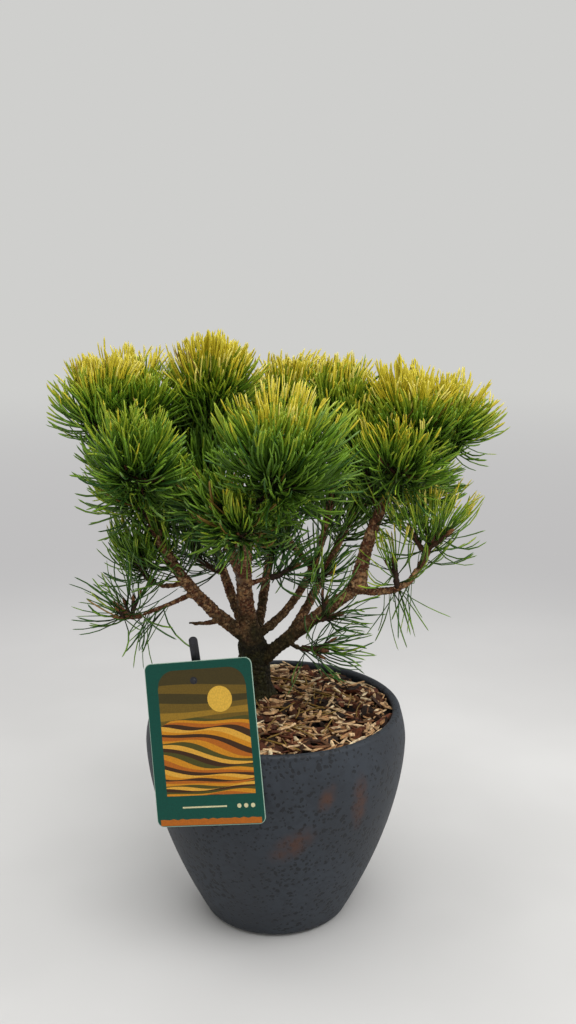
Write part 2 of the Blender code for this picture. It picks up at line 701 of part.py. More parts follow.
def shoot_with_needles(mass, number, path, space):
    """A three-sided twig; on each side of each ring one triangle is drawn out into a needle."""
    chance = random.Random(f"{mass.name} needles {number}")
    key = (mass.name, number)
    is_stem = number == 0
    length = np.linalg.norm(np.diff(path, axis=0), axis=1).sum()
    bare_share = STEM_BARE_SHARE if is_stem else SHOOT_BARE_LENGTH / length
    whorl = vector(mass.whorl)
    leader = unit(vector(mass.tip) - whorl)
    whorl_low = -WHORL_STEP * mass.shoots - WHORL_BARE
    centres, radii = shoot_rings(path, STEM_RADIUS if is_stem else SHOOT_RADIUS, bare_share)
    tangents = np.gradient(centres, axis=0)
    first, _ = side_axes(unit(tangents[0]))
    verts = []
    for ring, (centre, tangent, radius) in enumerate(zip(centres, tangents, radii)):
        axis = unit(tangent)
        first = unit(first - axis * np.dot(first, axis))
        second = np.cross(axis, first)
        for side in range(SHOOT_SIDES):
            turn = 2 * math.pi * side / SHOOT_SIDES + NEEDLE_TWIST * ring
            verts.append(centre + radius * (math.cos(turn) * first + math.sin(turn) * second))
    faces = [(2, 1, 0)]
    spikes = []
    for ring in range(len(centres) - 1):
        axis = unit(centres[ring + 1] - centres[ring])
        along = max(0.0, (ring - 1) / (len(centres) - 2))
        height = np.dot(centres[ring] - whorl, leader)
        at_whorl = is_stem and mass.shoots and whorl_low < height < WHORL_BARE
        for side in range(SHOOT_SIDES):
            a = ring * SHOOT_SIDES + side
            b = ring * SHOOT_SIDES + (side + 1) % SHOOT_SIDES
            for base in ((a, b, b + SHOOT_SIDES), (a, b + SHOOT_SIDES, a + SHOOT_SIDES)):
                centre = sum(verts[i] for i in base) / 3
                side_a, side_b = verts[base[1]] - verts[base[0]], verts[base[2]] - verts[base[0]]
                outward = unit(np.cross(side_a, side_b))
                tip = None
                if ring > 0 and not at_whorl:
                    tip = needle_tip(mass, key, centre, outward, axis, along, space, chance)
                if tip is None:
                    faces.append(base)
                else:
                    spikes.append((base, tip))
    cap = tuple(range(len(verts) - SHOOT_SIDES, len(verts)))
    end = centres[-1] + axis * 0.75 * mass.length
    share = space.free_share(key, centres[-1], end)
    spikes.append((cap, centres[-1] + (end - centres[-1]) * max(share, 0.15)))
    return raise_spikes(verts, faces, spikes)


def raise_spikes(verts, faces, spikes):
    """The mesh with its spikes drawn out; a spike that would cross another face stays flat."""
    rims = {tuple(sorted(rim)) for face in faces + [base for base, _ in spikes] for rim in sides_of(face)}
    while True:
        points = np.array(verts + [tip for _, tip in spikes])
        triangles = list(faces)
        owners = [-1] * len(faces)
        edges = sorted(rims)
        edge_owners = [-1] * len(edges)
        for index, (base, _) in enumerate(spikes):
            top = len(verts) + index
            for start, end in sides_of(base):
                triangles.append((start, end, top))
                owners.append(index)
                edges.append((start, top))
                edge_owners.append(index)
        crossing = crossing_edges(points, np.array(edges), np.array(triangles))
        pairs = [{edge_owners[edge], owners[face]} for edge, face in crossing]
        hits = Counter(owner for pair in pairs if len(pair) == 2 for owner in pair)
        del hits[-1], hits[len(spikes) - 1]
        if not hits:
            return list(points), triangles
        dropped = max(hits, key=lambda owner: (hits[owner], owner))
        faces = faces + [spikes[dropped][0]]
        spikes = spikes[:dropped] + spikes[dropped + 1:]


def sides_of(face):
    return zip(face, face[1:] + face[:1])


def crossing_edges(points, edges, triangles):
    """Pairs of edge and triangle that cross and share no corner."""
    start = points[edges[:, 0]][:, None]
    along = points[edges[:, 1]][:, None] - start
    corner = points[triangles[:, 0]][None]
    side_a = points[triangles[:, 1]][None] - corner
    side_b = points[triangles[:, 2]][None] - corner
    square = np.cross(along, side_b)
    scale = (side_a * square).sum(2)
    with np.errstate(divide="ignore", invalid="ignore"):
        offset = start - corner
        u = (offset * square).sum(2) / scale
        turned = np.cross(offset, side_a)
        v = (along * turned).sum(2) / scale
        t = (side_b * turned).sum(2) / scale
    hit = (np.abs(scale) > 1e-12) & (u > 0) & (v > 0) & (u + v < 1) & (t > 0) & (t < 1)
    shared = (edges[:, None, :, None] == triangles[None, :, None, :]).any(axis=(2, 3))
    return [tuple(pair) for pair in np.argwhere(hit & ~shared)]


def stem_cutters(mass, limbs, earlier):
    """Slightly larger copies of the limbs and earlier stems at a stem's root."""
    root = point_along(limbs[mass.bough].path, mass.share)
    cutters = []
    for limb in limbs.values():
        if distance_to_segments(root[None], segments_of(limb.path)).min() < limb.radii.max() + 5.0:
            cutters.append(tube("cutter", grown(limb)))
    for path in earlier:
        if np.linalg.norm(path[0] - root) < 12.0:
            cutters.append(tube("cutter", Tube(path, [STEM_RADIUS + 2 * CLEAR] * len(path), 8, None)))
    return cutters


def make_masses(limbs):
    shoots_by_mass = plan_shoots(limbs)
    space = Space(limbs, shoots_by_mass)
    earlier = []
    for mass in MASSES:
        shoots = []
        for number, path in enumerate(shoots_by_mass[mass.name]):
            name = mass.name if number == 0 else "shoot"
            shoots.append(new_object(name, *shoot_with_needles(mass, number, path, space)))
        stem = shoots[0]
        cut(stem, stem_cutters(mass, limbs, earlier))
        if shoots[1:]:
            join(stem, shoots[1:])
        paint(stem, "needles")
        earlier.append(shoots_by_mass[mass.name][0])


def clear_scene():
    remove(list(bpy.data.objects))


def main():
    clear_scene()
    make_pot()
    make_soil()
    make_label_card()
    make_label_stake()
    limbs = limb_tubes()
    make_limbs(limbs)
    make_masses(limbs)


main()
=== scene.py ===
"""Looks of the potted mugo pine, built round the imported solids.

Lengths are millimetres until a mesh is made, apart from the stage's. The origin is the middle
of the pot's flat underside, +X points right, +Y away from the front and +Z up, as in the
solids. Limbs, shoots and needles grow by the same rule as the solids, with finer twigs and far
more needles.
"""

import json
import math
import random
from collections import namedtuple

import bpy
import numpy as np
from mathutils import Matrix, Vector, noise

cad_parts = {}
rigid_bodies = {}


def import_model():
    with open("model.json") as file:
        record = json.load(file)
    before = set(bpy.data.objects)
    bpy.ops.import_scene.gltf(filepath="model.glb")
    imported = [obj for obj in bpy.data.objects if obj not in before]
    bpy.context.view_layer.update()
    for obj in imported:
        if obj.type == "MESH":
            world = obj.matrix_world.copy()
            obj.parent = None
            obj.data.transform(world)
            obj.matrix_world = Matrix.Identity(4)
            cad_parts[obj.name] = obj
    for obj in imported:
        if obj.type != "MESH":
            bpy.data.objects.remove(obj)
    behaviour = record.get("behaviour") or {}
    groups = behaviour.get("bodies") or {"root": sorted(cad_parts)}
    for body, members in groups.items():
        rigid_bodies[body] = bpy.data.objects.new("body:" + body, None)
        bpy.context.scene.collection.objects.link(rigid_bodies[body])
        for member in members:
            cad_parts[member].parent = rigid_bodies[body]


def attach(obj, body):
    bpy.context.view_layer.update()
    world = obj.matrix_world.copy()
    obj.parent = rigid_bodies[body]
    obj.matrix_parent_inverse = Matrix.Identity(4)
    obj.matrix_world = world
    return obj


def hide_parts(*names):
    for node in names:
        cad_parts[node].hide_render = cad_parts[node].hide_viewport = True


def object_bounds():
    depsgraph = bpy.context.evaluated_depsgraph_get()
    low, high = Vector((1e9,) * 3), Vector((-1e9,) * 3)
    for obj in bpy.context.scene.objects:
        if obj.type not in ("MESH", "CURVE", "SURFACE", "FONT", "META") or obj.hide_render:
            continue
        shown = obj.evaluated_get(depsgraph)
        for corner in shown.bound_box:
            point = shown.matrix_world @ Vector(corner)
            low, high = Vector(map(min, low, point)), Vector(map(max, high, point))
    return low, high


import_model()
CAD_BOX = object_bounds()

MM = 0.001
CHUNK = 4000
UP = np.array([0.0, 0.0, 1.0])
GOLDEN_TURN = math.radians(137.508)

# Stage, in metres
FLOOR_RADIUS = 6.0
LAMP_TARGET = (0.0, 0.0, 0.3)
# Name, place, size and power of each lamp.
LAMPS = (
    ("key", (0.5, -1.0, 1.9), 1.3, 20.0),
    ("top", (-0.3, 0.3, 2.2), 1.8, 22.0),
    ("side", (1.6, -0.4, 0.9), 1.2, 7.0),
)
LENS = 36.91
CAMERA_PLACE = (0.0105, -0.852, 0.538)
CAMERA_PITCH = math.radians(12.25)
WALL_COLOUR = (207, 207, 205)
HORIZON_COLOUR = (192, 191, 191)

# Pot and soil
POT_HEIGHT = 184.5
POT_FOOT_RADIUS = 54.0
POT_HEEL_RADIUS = 62.0
POT_BELLY_RADIUS = 111.9
POT_BELLY_SHARE = 0.85
POT_FULLNESS = 1.7
POT_RIM_RADIUS = 107.4
POT_WALL = 7.0
POT_SIDES = 144
POT_INSIDE_LOW = 150.0
POT_HEEL_HEIGHT = 3.0
SMEAR_DEPTH = 20.0
# Centre, length, width and turn of each smear of dried soil.
SMEARS = (
    ((14.0, -104.0, 108.0), 25.0, 13.0, 0.75),
    ((41.0, -103.0, 148.0), 14.0, 8.0, 1.20),
    ((67.0, -86.0, 136.0), 28.0, 9.5, 1.62),
)
SOIL_LEVEL = 179.5
SOIL_MOUND = 3.0
SOIL_MOUND_RADIUS = 58.0
SOIL_LEVEL_RADIUS = 30.0
SOIL_UNEVEN = 1.5
GROUND_RINGS = 60
GROUND_SIDES = 160
GROUND_DEPTH = 3.2
CHIP_SIDES = 5
CHIP_SHARES = np.array([-0.5, -0.28, 0.22, 0.5])
CHIP_WIDTHS = np.array([0.6, 0.95, 1.0, 0.5])
CHIP_COLOURS = (
    (218, 186, 144), (196, 156, 112), (164, 122, 82), (230, 204, 166),
    (110, 74, 48), (78, 43, 27), (98, 54, 34), (36, 23, 16), (60, 36, 23),
)
# Count; ranges of length, width and thickness; crook; numbers of the colours; range of lift.
CHIP_SORTS = {
    "bark_flakes": (
        (430, ((10, 24), (7, 14), (2.0, 4.0)), 0.8, (5, 5, 6, 6, 7, 7, 8), (-2.4, 1.6)),
    ),
    "wood_splinters": (
        (470, ((10, 27), (2.6, 6.2), (1.1, 2.4)), 0.35, (0, 1, 1, 2, 2, 4, 6), (-1.8, 1.4)),
        (470, ((9, 26), (1.8, 4.9), (0.9, 1.9)), 0.4, (0, 0, 1, 1, 2, 3, 4), (0.6, 3.2)),
    ),
}
FALLEN_NEEDLES = 70

# Trunk and limbs
TRUNK_FOOT = (-22.0, 23.0, 182.8)
TRUNK_VIA = (-19.0, 15.0, 211.0)
TRUNK_FORK = (-21.3, 7.0, 243.5)
TRUNK_RADIUS = 11.0
TRUNK_TAPER = 1.2
TRUNK_FLARE = 7.5
TRUNK_FLARE_HEIGHT = 9.0
ROOT_SHOULDER = 0.14
ROOT_SHOULDER_STEP = 8.7
ROOT_SINK = 4.0
LIMB_SIDES = 20
LIMB_STEP = 3.0
BARK_VOXEL = 0.83
BARK_SWELL = 1.13
BARK_FOOT = 178.0
SCAR = (-29.5, -9.0, 300.0)

# Label
LABEL_WIDTH = 88.0
LABEL_HEIGHT = 127.0
LABEL_THICKNESS = 1.0
LABEL_CORNER = 5.5
LABEL_YAW = math.radians(14.6)
LABEL_LEAN = np.radians(13.5)
LABEL_ROLL = np.radians(9.1)
LABEL_CENTRE_X = -54.4
LABEL_CENTRE_Z = 191.0
HOLE_HEIGHT = 234.0
HOLE_RADIUS = 2.9
STAKE_TOP = (-64.1, -71.0, 268.5)
STAKE_FOOT = (-45.5, -70.0, 120.0)
STAKE_WIDTH = 7.0
STAKE_THICKNESS = 2.0
STAKE_CORNER = 3.0
NIB_RADIUS = 2.2
NIB_REACH = 1.6

# Colours of the label's print: a sun over rolling fields.
LABEL_COLOURS = {
    "card_green": (0, 68, 56),
    # The card's body: its pale sides are a painted highlight along the card's edges, and its back takes the
    # same colour.
    "card_edge": (146, 172, 156),
    "sky_dark": (62, 52, 18),
    "sky_mid": (102, 80, 22),
    "sky_light": (144, 110, 30),
    "sun": (212, 168, 62),
    "field_gold": (194, 128, 24),
    "field_amber": (168, 92, 20),
    "field_brown": (58, 34, 12),
    "field_olive": (72, 68, 22),
    "field_pale": (210, 156, 56),
    "ink_pale": (200, 194, 154),
}
SKY = ("dark", "mid", "dark", "mid", "light", "mid")
FIELDS = (
    "olive", "gold", "amber", "brown", "pale", "gold", "brown", "amber", "gold", "olive", "pale", "brown",
)
FIELD_ROWS = 30
PICTURE_SIDES = (-34.0, 38.0)
PICTURE_FOOT_AND_TOP = (-40.0, 57.0)
PICTURE_CORNER = 14.0
SUN_PLACE = (16.0, 33.0)
SUN_RADIUS = 10.0
BAR_HEIGHTS = (-62.6, -58.0)
RULE_ENDS = (-22.0, 14.0)
RULE_HEIGHTS = (-49.6, -48.4)
DOTS = ((24.0, -49.0), (29.5, -49.0), (35.0, -49.0))
DOT_RADIUS = 1.7

# Shoots and needles
TWIG_COLOURS = ((48, 32, 22), (68, 44, 28), (94, 61, 38), (124, 84, 50))
STEM_RADIUS = 2.7
SHOOT_RADIUS = 2.2
BRANCHLET_RADIUS = 1.5
SHOOT_TAPER = 0.35
SHOOT_BARE_LENGTH = 4.0
BRANCHLET_BARE_LENGTH = 2.0
BRANCHLET_LENGTHS = (9.0, 15.0)
STEM_BARE_SHARE = 0.12
SHOOT_RISE = 0.15
SHOOT_TIP_RISE = 0.25
SHOOT_TRIES = 6
SHOOT_TRY_TURN = 0.45
SHOOT_BERTH = 2.9
SHOOT_CLEARANCE = 3.5
WHORL_STEP = 3.0
NEEDLE_SPACING = 0.6
NEEDLE_WIDTH = 1.65
SLIMMEST = 0.72
NEEDLE_BEND = math.radians(50.0)
NEEDLE_PAIR = 0.18
ROOT_RISE = 0.5
TIP_SPLAY = 9.0
TRIM_SHARES = (0.25, 0.4, 0.55, 0.7, 0.85, 1.0)
TRIM_STEP = 0.15
NEEDLE_CLEARANCE = 0.9
BOX_MARGIN = 0.5
POT_BERTH = 2.0
CARD_BERTH = (LABEL_WIDTH / 2 + 2.0, LABEL_HEIGHT / 2 + 2.0, 3.0)
SHORTEST_NEEDLE = 12.0
# A needle's rings of corners, as shares of its length and of its width, and the corners of a ring.
NEEDLE_RINGS = ((0.0, 0.7), (0.3, 0.95), (0.56, 1.0), (0.78, 1.0), (0.94, 0.85))
NEEDLE_CORNERS = ((-1.0, -0.25), (1.0, -0.25), (0.0, 0.75))
WISP_SPAN = 17.0
WISP_LEAN = 0.8
WISP_LENGTH = 0.22
WISP_TONE = 1.5
WISP_FIELDS = ((0.0, 0.0, 0.0), (31.4, 47.2, 11.7), (-17.9, 23.3, 61.5))

Tube = namedtuple("Tube", "path radii")

# Each limb leaves its parent at a share of the parent's length and bends through one point.
Limb = namedtuple("Limb", "name parent share via end root_radius tip_radius")
LIMBS = [Limb(*sizes) for sizes in (
    ("centre_bough", "trunk", 0.97, (-26, -13, 309), (-15, -60, 371), 6.6, 4.4),
    ("left_bough", "trunk", 0.93, (-76, -11, 298), (-106, -20, 370), 5.4, 3.2),
    ("middle_bough", "trunk", 0.95, (28, 19, 292), (51, 30, 387), 3.4, 2.3),
    ("right_bough", "trunk", 0.50, (27, -8, 259), (68, -17, 293), 5.6, 4.6),
    ("back_left_bough", "trunk", 0.80, (-48, 62, 286), (-65, 86, 353), 4.4, 2.6),
    ("back_centre_bough", "trunk", 0.66, (-8, 72, 283), (4, 98, 356), 4.4, 2.6),
    ("centre_left_bough", "centre_bough", 0.38, (-51, 4, 358), (-54, 10, 406), 3.9, 2.8),
    ("centre_left_twig", "centre_left_bough", 0.42, (-64, 16, 365), (-74, 30, 385), 2.2, 1.8),
    ("centre_small_twig", "centre_bough", 0.34, (-13, -10, 297), (-4, -12, 300), 1.8, 1.5),
    ("middle_left_twig", "middle_bough", 0.48, (6, 42, 335), (5, 54, 395), 2.2, 1.8),
    ("right_upper_bough", "right_bough", 1.0, (78, -14, 336), (96, -7, 376), 5.2, 3.4),
    ("right_outer_bough", "right_bough", 0.98, (99, -26, 294), (118, -28, 314), 2.8, 2.2),
    ("right_low_twig", "right_bough", 0.36, (17, -17, 241), (23, -22, 242), 2.0, 1.7),
    ("back_right_bough", "right_bough", 0.40, (47, 44, 298), (78, 74, 359), 3.8, 2.5),
    ("left_low_twig", "left_bough", 0.42, (-92, -18, 277), (-110, -26, 272), 1.8, 1.5),
    ("left_middle_twig", "left_bough", 0.50, (-90, -7, 291), (-101, -4, 293), 1.8, 1.5),
    ("left_dead_stub", "left_bough", 0.20, (-62, -6, 258), (-73, -10, 260), 1.9, 1.2),
)]

# Each mass has one stem, which leaves its bough, passes the whorl of side shoots and ends at a tip.
Mass = namedtuple("Mass", "name bough share whorl tip shoots reach open length splay")
MASSES = [Mass(f"{name}_tuft", *sizes) for name, *sizes in (
    ("left_outer", "left_bough", 1.0, (-136, -15, 428), (-145, -15, 448), 3, 22, 50, 46, 66),
    ("left_top", "left_bough", 1.0, (-114, 2, 429), (-112, 2, 449), 4, 26, 48, 46, 66),
    ("left_front", "left_bough", 1.0, (-107, -48, 394), (-102, -60, 413), 4, 24, 62, 45, 74),
    ("left_under", "left_bough", 0.90, (-108, -27, 363), (-115, -28, 371), 2, 14, 55, 38, 72),
    ("left_rear", "left_bough", 0.78, (-88, 26, 364), (-86, 36, 380), 3, 22, 60, 42, 78),
    ("left_middle", "left_middle_twig", 1.0, (-110, -5, 302), (-120, -5, 317), 2, 18, 58, 40, 72),
    ("left_low", "left_low_twig", 1.0, (-119, -30, 272), (-128, -31, 281), 2, 14, 62, 42, 106),
    ("back_left_low", "back_left_bough", 0.50, (-72, 50, 304), (-75, 52, 322), 1, 16, 50, 40, 74),
    ("centre_left_top", "centre_left_bough", 1.0, (-52, 10, 442), (-48, 8, 462), 5, 28, 46, 49, 66),
    ("centre_left_rear", "centre_left_twig", 1.0, (-79, 40, 405), (-83, 46, 424), 2, 22, 48, 42, 70),
    ("front", "centre_bough", 1.0, (4, -80, 396), (11, -90, 417), 5, 36, 58, 48, 76),
    ("front_low", "centre_bough", 0.84, (-24, -62, 352), (-27, -80, 366), 3, 18, 68, 40, 80),
    ("front_left", "centre_bough", 0.92, (-50, -56, 368), (-60, -60, 378), 1, 16, 55, 38, 74),
    ("centre_right_top", "middle_bough", 1.0, (54, 30, 421), (58, 30, 443), 4, 30, 46, 45, 64),
    ("inner_top", "right_upper_bough", 0.72, (74, 4, 400), (75, 1, 419), 2, 18, 46, 40, 68),
    ("centre_top", "middle_left_twig", 1.0, (10, 52, 429), (13, 50, 449), 3, 24, 46, 42, 66),
    ("centre_rear", "middle_left_twig", 0.52, (28, 68, 366), (32, 75, 384), 2, 20, 52, 42, 76),
    ("right_top", "right_upper_bough", 1.0, (113, -4, 414), (118, -6, 437), 5, 36, 50, 46, 64),
    ("right_outer", "right_upper_bough", 0.97, (138, -12, 413), (149, -13, 428), 2, 22, 50, 44, 72),
    ("right_middle", "right_upper_bough", 0.90, (99, -28, 393), (104, -42, 408), 3, 24, 60, 42, 78),
    ("right_low", "right_outer_bough", 1.0, (124, -30, 330), (130, -31, 350), 3, 22, 52, 50, 80),
    ("right_small", "right_outer_bough", 0.58, (98, -29, 308), (96, -34, 319), 0, 0, 40, 38, 66),
    ("inner_right", "middle_bough", 0.42, (34, 10, 292), (45, 3, 300), 1, 14, 50, 38, 66),
    ("inner_left", "middle_left_twig", 0.22, (-2, 16, 322), (-8, 6, 334), 1, 16, 55, 38, 74),
    ("low_right", "right_bough", 0.64, (39, -22, 267), (52, -28, 273), 1, 14, 50, 40, 66),
    ("low_front", "right_low_twig", 1.0, (28, -29, 244), (38, -36, 245), 1, 12, 50, 38, 66),
    ("inner_small", "centre_small_twig", 1.0, (6, -13, 304), (15, -13, 309), 0, 0, 40, 34, 66),
    ("back_left", "back_left_bough", 1.0, (-71, 98, 389), (-73, 102, 410), 3, 28, 54, 46, 74),
    ("back_left_outer", "back_left_bough", 0.92, (-108, 84, 363), (-123, 84, 375), 3, 24, 54, 46, 74),
    ("back_centre", "back_centre_bough", 1.0, (0, 108, 395), (-2, 114, 415), 4, 28, 54, 48, 74),
    ("back_low", "back_centre_bough", 0.86, (12, 128, 348), (16, 144, 355), 2, 22, 55, 46, 80),
    ("back_right", "back_right_bough", 1.0, (86, 78, 394), (90, 82, 415), 4, 28, 54, 48, 74),
    ("back_right_outer", "back_right_bough", 0.90, (112, 86, 349), (127, 94, 359), 3, 22, 52, 46, 78),
)]

# How far a mass's needles turn up, how golden its tips and how fresh its green are, how densely
# its needles stand, and how long they are against the length in the table above. Gold and
# freshness raise, and sparseness lowers, the share of needles painted lit rather than in
# painted shade.
Looks = namedtuple("Looks", "rise gold fresh fill stretch", defaults=(1.0,))
LOOKS = {f"{name}_tuft": Looks(*looks) for name, looks in {
    "left_outer": (0.55, 1.0, 0.75, 1.0),
    "left_top": (0.55, 1.0, 0.75, 1.0),
    "left_front": (0.45, 0.35, 0.65, 0.9),
    "left_under": (0.25, 0.2, 0.7, 0.95, 1.1),
    "left_rear": (0.3, 0.15, 0.35, 1.0),
    "left_middle": (0.35, 0.1, 1.0, 0.66, 1.15),
    "left_low": (0.1, 0.0, 0.4, 0.25, 1.15),
    "back_left_low": (0.3, 0.0, 0.2, 0.5),
    "centre_left_top": (0.6, 1.2, 0.8, 1.0, 0.93),
    "centre_left_rear": (0.4, 0.3, 0.4, 1.15),
    "front": (0.45, 1.25, 0.05, 1.0),
    "front_low": (0.25, 0.3, 0.75, 0.75),
    "front_left": (0.3, 0.2, 0.5, 1.0),
    "centre_right_top": (0.6, 0.9, 0.7, 1.0),
    "inner_top": (0.5, 0.55, 0.6, 1.0),
    "centre_top": (0.55, 1.1, 0.7, 1.0),
    "centre_rear": (0.4, 0.1, 0.3, 0.8),
    "right_top": (0.6, 1.6, 0.9, 1.0, 0.94),
    "right_outer": (0.5, 1.2, 0.9, 1.0),
    "right_middle": (0.45, 0.65, 1.05, 0.65, 1.15),
    "right_low": (0.45, 0.4, 1.8, 0.33, 0.94),
    "right_small": (0.3, 0.3, 1.3, 0.28, 1.15),
    "inner_right": (0.2, 0.0, 0.4, 0.35, 1.15),
    "inner_left": (0.2, 0.05, 0.3, 0.8, 1.1),
    "low_right": (0.05, 0.05, 0.6, 0.22, 1.3),
    "low_front": (0.0, 0.0, 0.5, 0.18, 1.3),
    "inner_small": (0.2, 0.0, 0.3, 0.5),
    "back_left": (0.5, 0.8, 0.7, 1.0),
    "back_left_outer": (0.4, 0.5, 0.6, 1.0),
    "back_centre": (0.5, 0.9, 0.7, 1.0),
    "back_low": (0.3, 0.2, 0.5, 0.75),
    "back_right": (0.5, 0.9, 0.8, 1.0),
    "back_right_outer": (0.4, 0.4, 0.6, 1.0),
}.items()}

# Loose needles that hang from a limb, grown with the mass that is named first.
Sprig = namedtuple("Sprig", "mass limb first last count heading")
SPRIGS = [Sprig(*sizes) for sizes in (
    ("right_small_tuft", "right_outer_bough", 0.35, 0.85, 18, (0.15, -0.35, -1.0)),
    ("left_low_tuft", "left_low_twig", 0.45, 1.0, 14, (-0.45, -0.3, -1.0)),
    ("low_front_tuft", "right_low_twig", 0.6, 1.0, 8, (0.9, -0.3, -0.35)),
)]

# Stretches of limbs that still carry needles, grown with the mass that is named first.
Sleeve = namedtuple("Sleeve", "mass limb first last fill")
SLEEVES = [Sleeve(*sizes) for sizes in (
    ("left_under_tuft", "left_bough", 0.52, 1.0, 0.55),
    ("centre_left_top_tuft", "centre_left_bough", 0.42, 1.0, 1.1),
    ("centre_left_rear_tuft", "centre_left_twig", 0.1, 1.0, 0.6),
    ("front_low_tuft", "centre_bough", 0.62, 1.0, 0.6),
    ("centre_right_top_tuft", "middle_bough", 0.64, 1.0, 0.5),
    ("centre_top_tuft", "middle_left_twig", 0.30, 1.0, 0.8),
    ("right_middle_tuft", "right_upper_bough", 0.60, 1.0, 0.55),
    ("right_small_tuft", "right_outer_bough", 0.75, 1.0, 0.4),
    ("back_left_tuft", "back_left_bough", 0.52, 1.0, 0.85),
    ("back_centre_tuft", "back_centre_bough", 0.62, 1.0, 0.8),
    ("back_right_tuft", "back_right_bough", 0.62, 1.0, 0.75),
)]

# The pieces that the needles are joined into, and the first words of the masses in each.
NEEDLE_PIECES = {
    "needles_left": ("left",),
    "needles_centre": ("centre", "inner"),
    "needles_front": ("front", "low"),
    "needles_right": ("right",),
    "needles_back_left": ("back_left", "back_low"),
    "needles_back_right": ("back_centre", "back_right"),
}

# Needle colours. A run gives one needle's four bands from root to tip, darkest run first.
# The sun runs are lit needles, and the shade runs are the same greens in painted shade, darker
# and cooler in 'cool'. Their 'pale' tips are partly the needles' own pale tips and partly a
# painted highlight.
NEEDLE_COLOURS = {
    "deep": (38, 62, 12),
    "green": (76, 110, 26),
    "fresh": (108, 144, 36),
    "lime": (150, 168, 42),
    "gold": (203, 188, 46),
    "straw": (222, 210, 102),
    "cool": (54, 94, 34),
    "pale": (116, 148, 72),
    "dry": (138, 108, 50),
}
# The root bands are darkest, partly for the needles' sheaths and partly as painted shade deep in the tuft.
SUN_RUNS = (
    ("deep", "green", "green", "green"),
    ("green", "green", "green", "fresh"),
    ("deep", "green", "fresh", "fresh"),
    ("green", "green", "fresh", "lime"),
    ("green", "fresh", "lime", "lime"),
    ("green", "fresh", "lime", "gold"),
    ("green", "fresh", "lime", "straw"),
    ("fresh", "lime", "gold", "gold"),
)
SHADE_RUNS = (
    ("deep", "deep", "cool", "cool"),
    ("deep", "cool", "cool", "cool"),
    ("cool", "cool", "cool", "pale"),
    ("cool", "cool", "pale", "pale"),
    ("green", "cool", "pale", "pale"),
    ("green", "green", "pale", "lime"),
    ("green", "fresh", "fresh", "gold"),
    ("green", "fresh", "lime", "gold"),
)
DRY_RUN = ("dry", "dry", "dry", "dry")
DRY_SHARE = 0.005
DRY_SHARES = {"front_low_tuft": 0.05, "front_left_tuft": 0.03}
RUNS = SUN_RUNS + SHADE_RUNS + (DRY_RUN,)
RUN_SLOTS = np.array([[list(NEEDLE_COLOURS).index(name) for name in run] for run in RUNS])
BRIGHTEST_RUN = len(SUN_RUNS) - 1
DRY = len(RUNS) - 1


def linear(colour):
    """Scene colour of an 8-bit display colour."""
    return tuple((c / 255 / 12.92) if c < 10 else ((c / 255 + 0.055) / 1.055) ** 2.4 for c in colour)


def vector(point):
    return np.array(point, dtype=float)


def unit(v):
    return v / np.linalg.norm(v, axis=-1, keepdims=True)


def curve(start, via, end, count):
    """Points on a parabola that passes the middle point half way along."""
    control = 2.0 * via - 0.5 * (start + end)
    t = np.linspace(0.0, 1.0, count)[:, None]
    return (1 - t) ** 2 * start + 2 * t * (1 - t) * control + t**2 * end


def lengths_along(path):
    steps = np.linalg.norm(np.diff(path, axis=0), axis=1)
    return np.concatenate([[0.0], np.cumsum(steps)])


def point_along(path, share):
    """The point at a share of a path's length, or the points at several shares."""
    reached = lengths_along(path)
    return np.stack([np.interp(share * reached[-1], reached, axis) for axis in path.T], axis=-1)


def clamp(values, low=0.0, high=1.0):
    return np.clip(values, low, high)


def side_axes(direction):
    """Two directions square to the given one and to each other."""
    helper = UP if abs(direction[2]) < 0.8 else np.array([1.0, 0.0, 0.0])
    first = unit(np.cross(helper, direction))
    return first, np.cross(direction, first)


def spread(first, second, turns):
    """Directions at the given turns from the first axis towards the second."""
    return np.cos(turns)[..., None] * first + np.sin(turns)[..., None] * second


def full_turn(count):
    """Evenly spaced turns round a circle."""
    return 2 * math.pi * np.arange(count) / count


def rings_round(path, radii, sides, swell=None):
    """Corners of rings round a path, as rings by sides by three."""
    tangents = unit(np.gradient(path, axis=0))
    first, _ = side_axes(tangents[0])
    turns = full_turn(sides)
    rings = []
    for ring, (point, axis, radius) in enumerate(zip(path, tangents, radii)):
        first = unit(first - axis * np.dot(first, axis))
        reach = radius * (np.ones(sides) if swell is None else swell(ring, turns))
        rings.append(point + reach[:, None] * spread(first, np.cross(axis, first), turns))
    return np.array(rings)


def tube_faces(rings, sides):
    """Triangles of a tube with flat ends, for corners in ring order."""
    ring, side = np.meshgrid(np.arange(rings - 1), np.arange(sides), indexing="ij")
    a = (ring * sides + side).ravel()
    b = (ring * sides + (side + 1) % sides).ravel()
    fan = np.arange(1, sides - 1)
    last = (rings - 1) * sides
    ends = np.concatenate([
        np.stack([0 * fan, fan + 1, fan], axis=1),
        np.stack([0 * fan + last, last + fan, last + fan + 1], axis=1),
    ])
    return np.concatenate([np.stack([a, b, b + sides], 1), np.stack([a, b + sides, a + sides], 1), ends])


def add_object(name, data):
    obj = bpy.data.objects.new(name, data)
    bpy.context.scene.collection.objects.link(obj)
    return obj


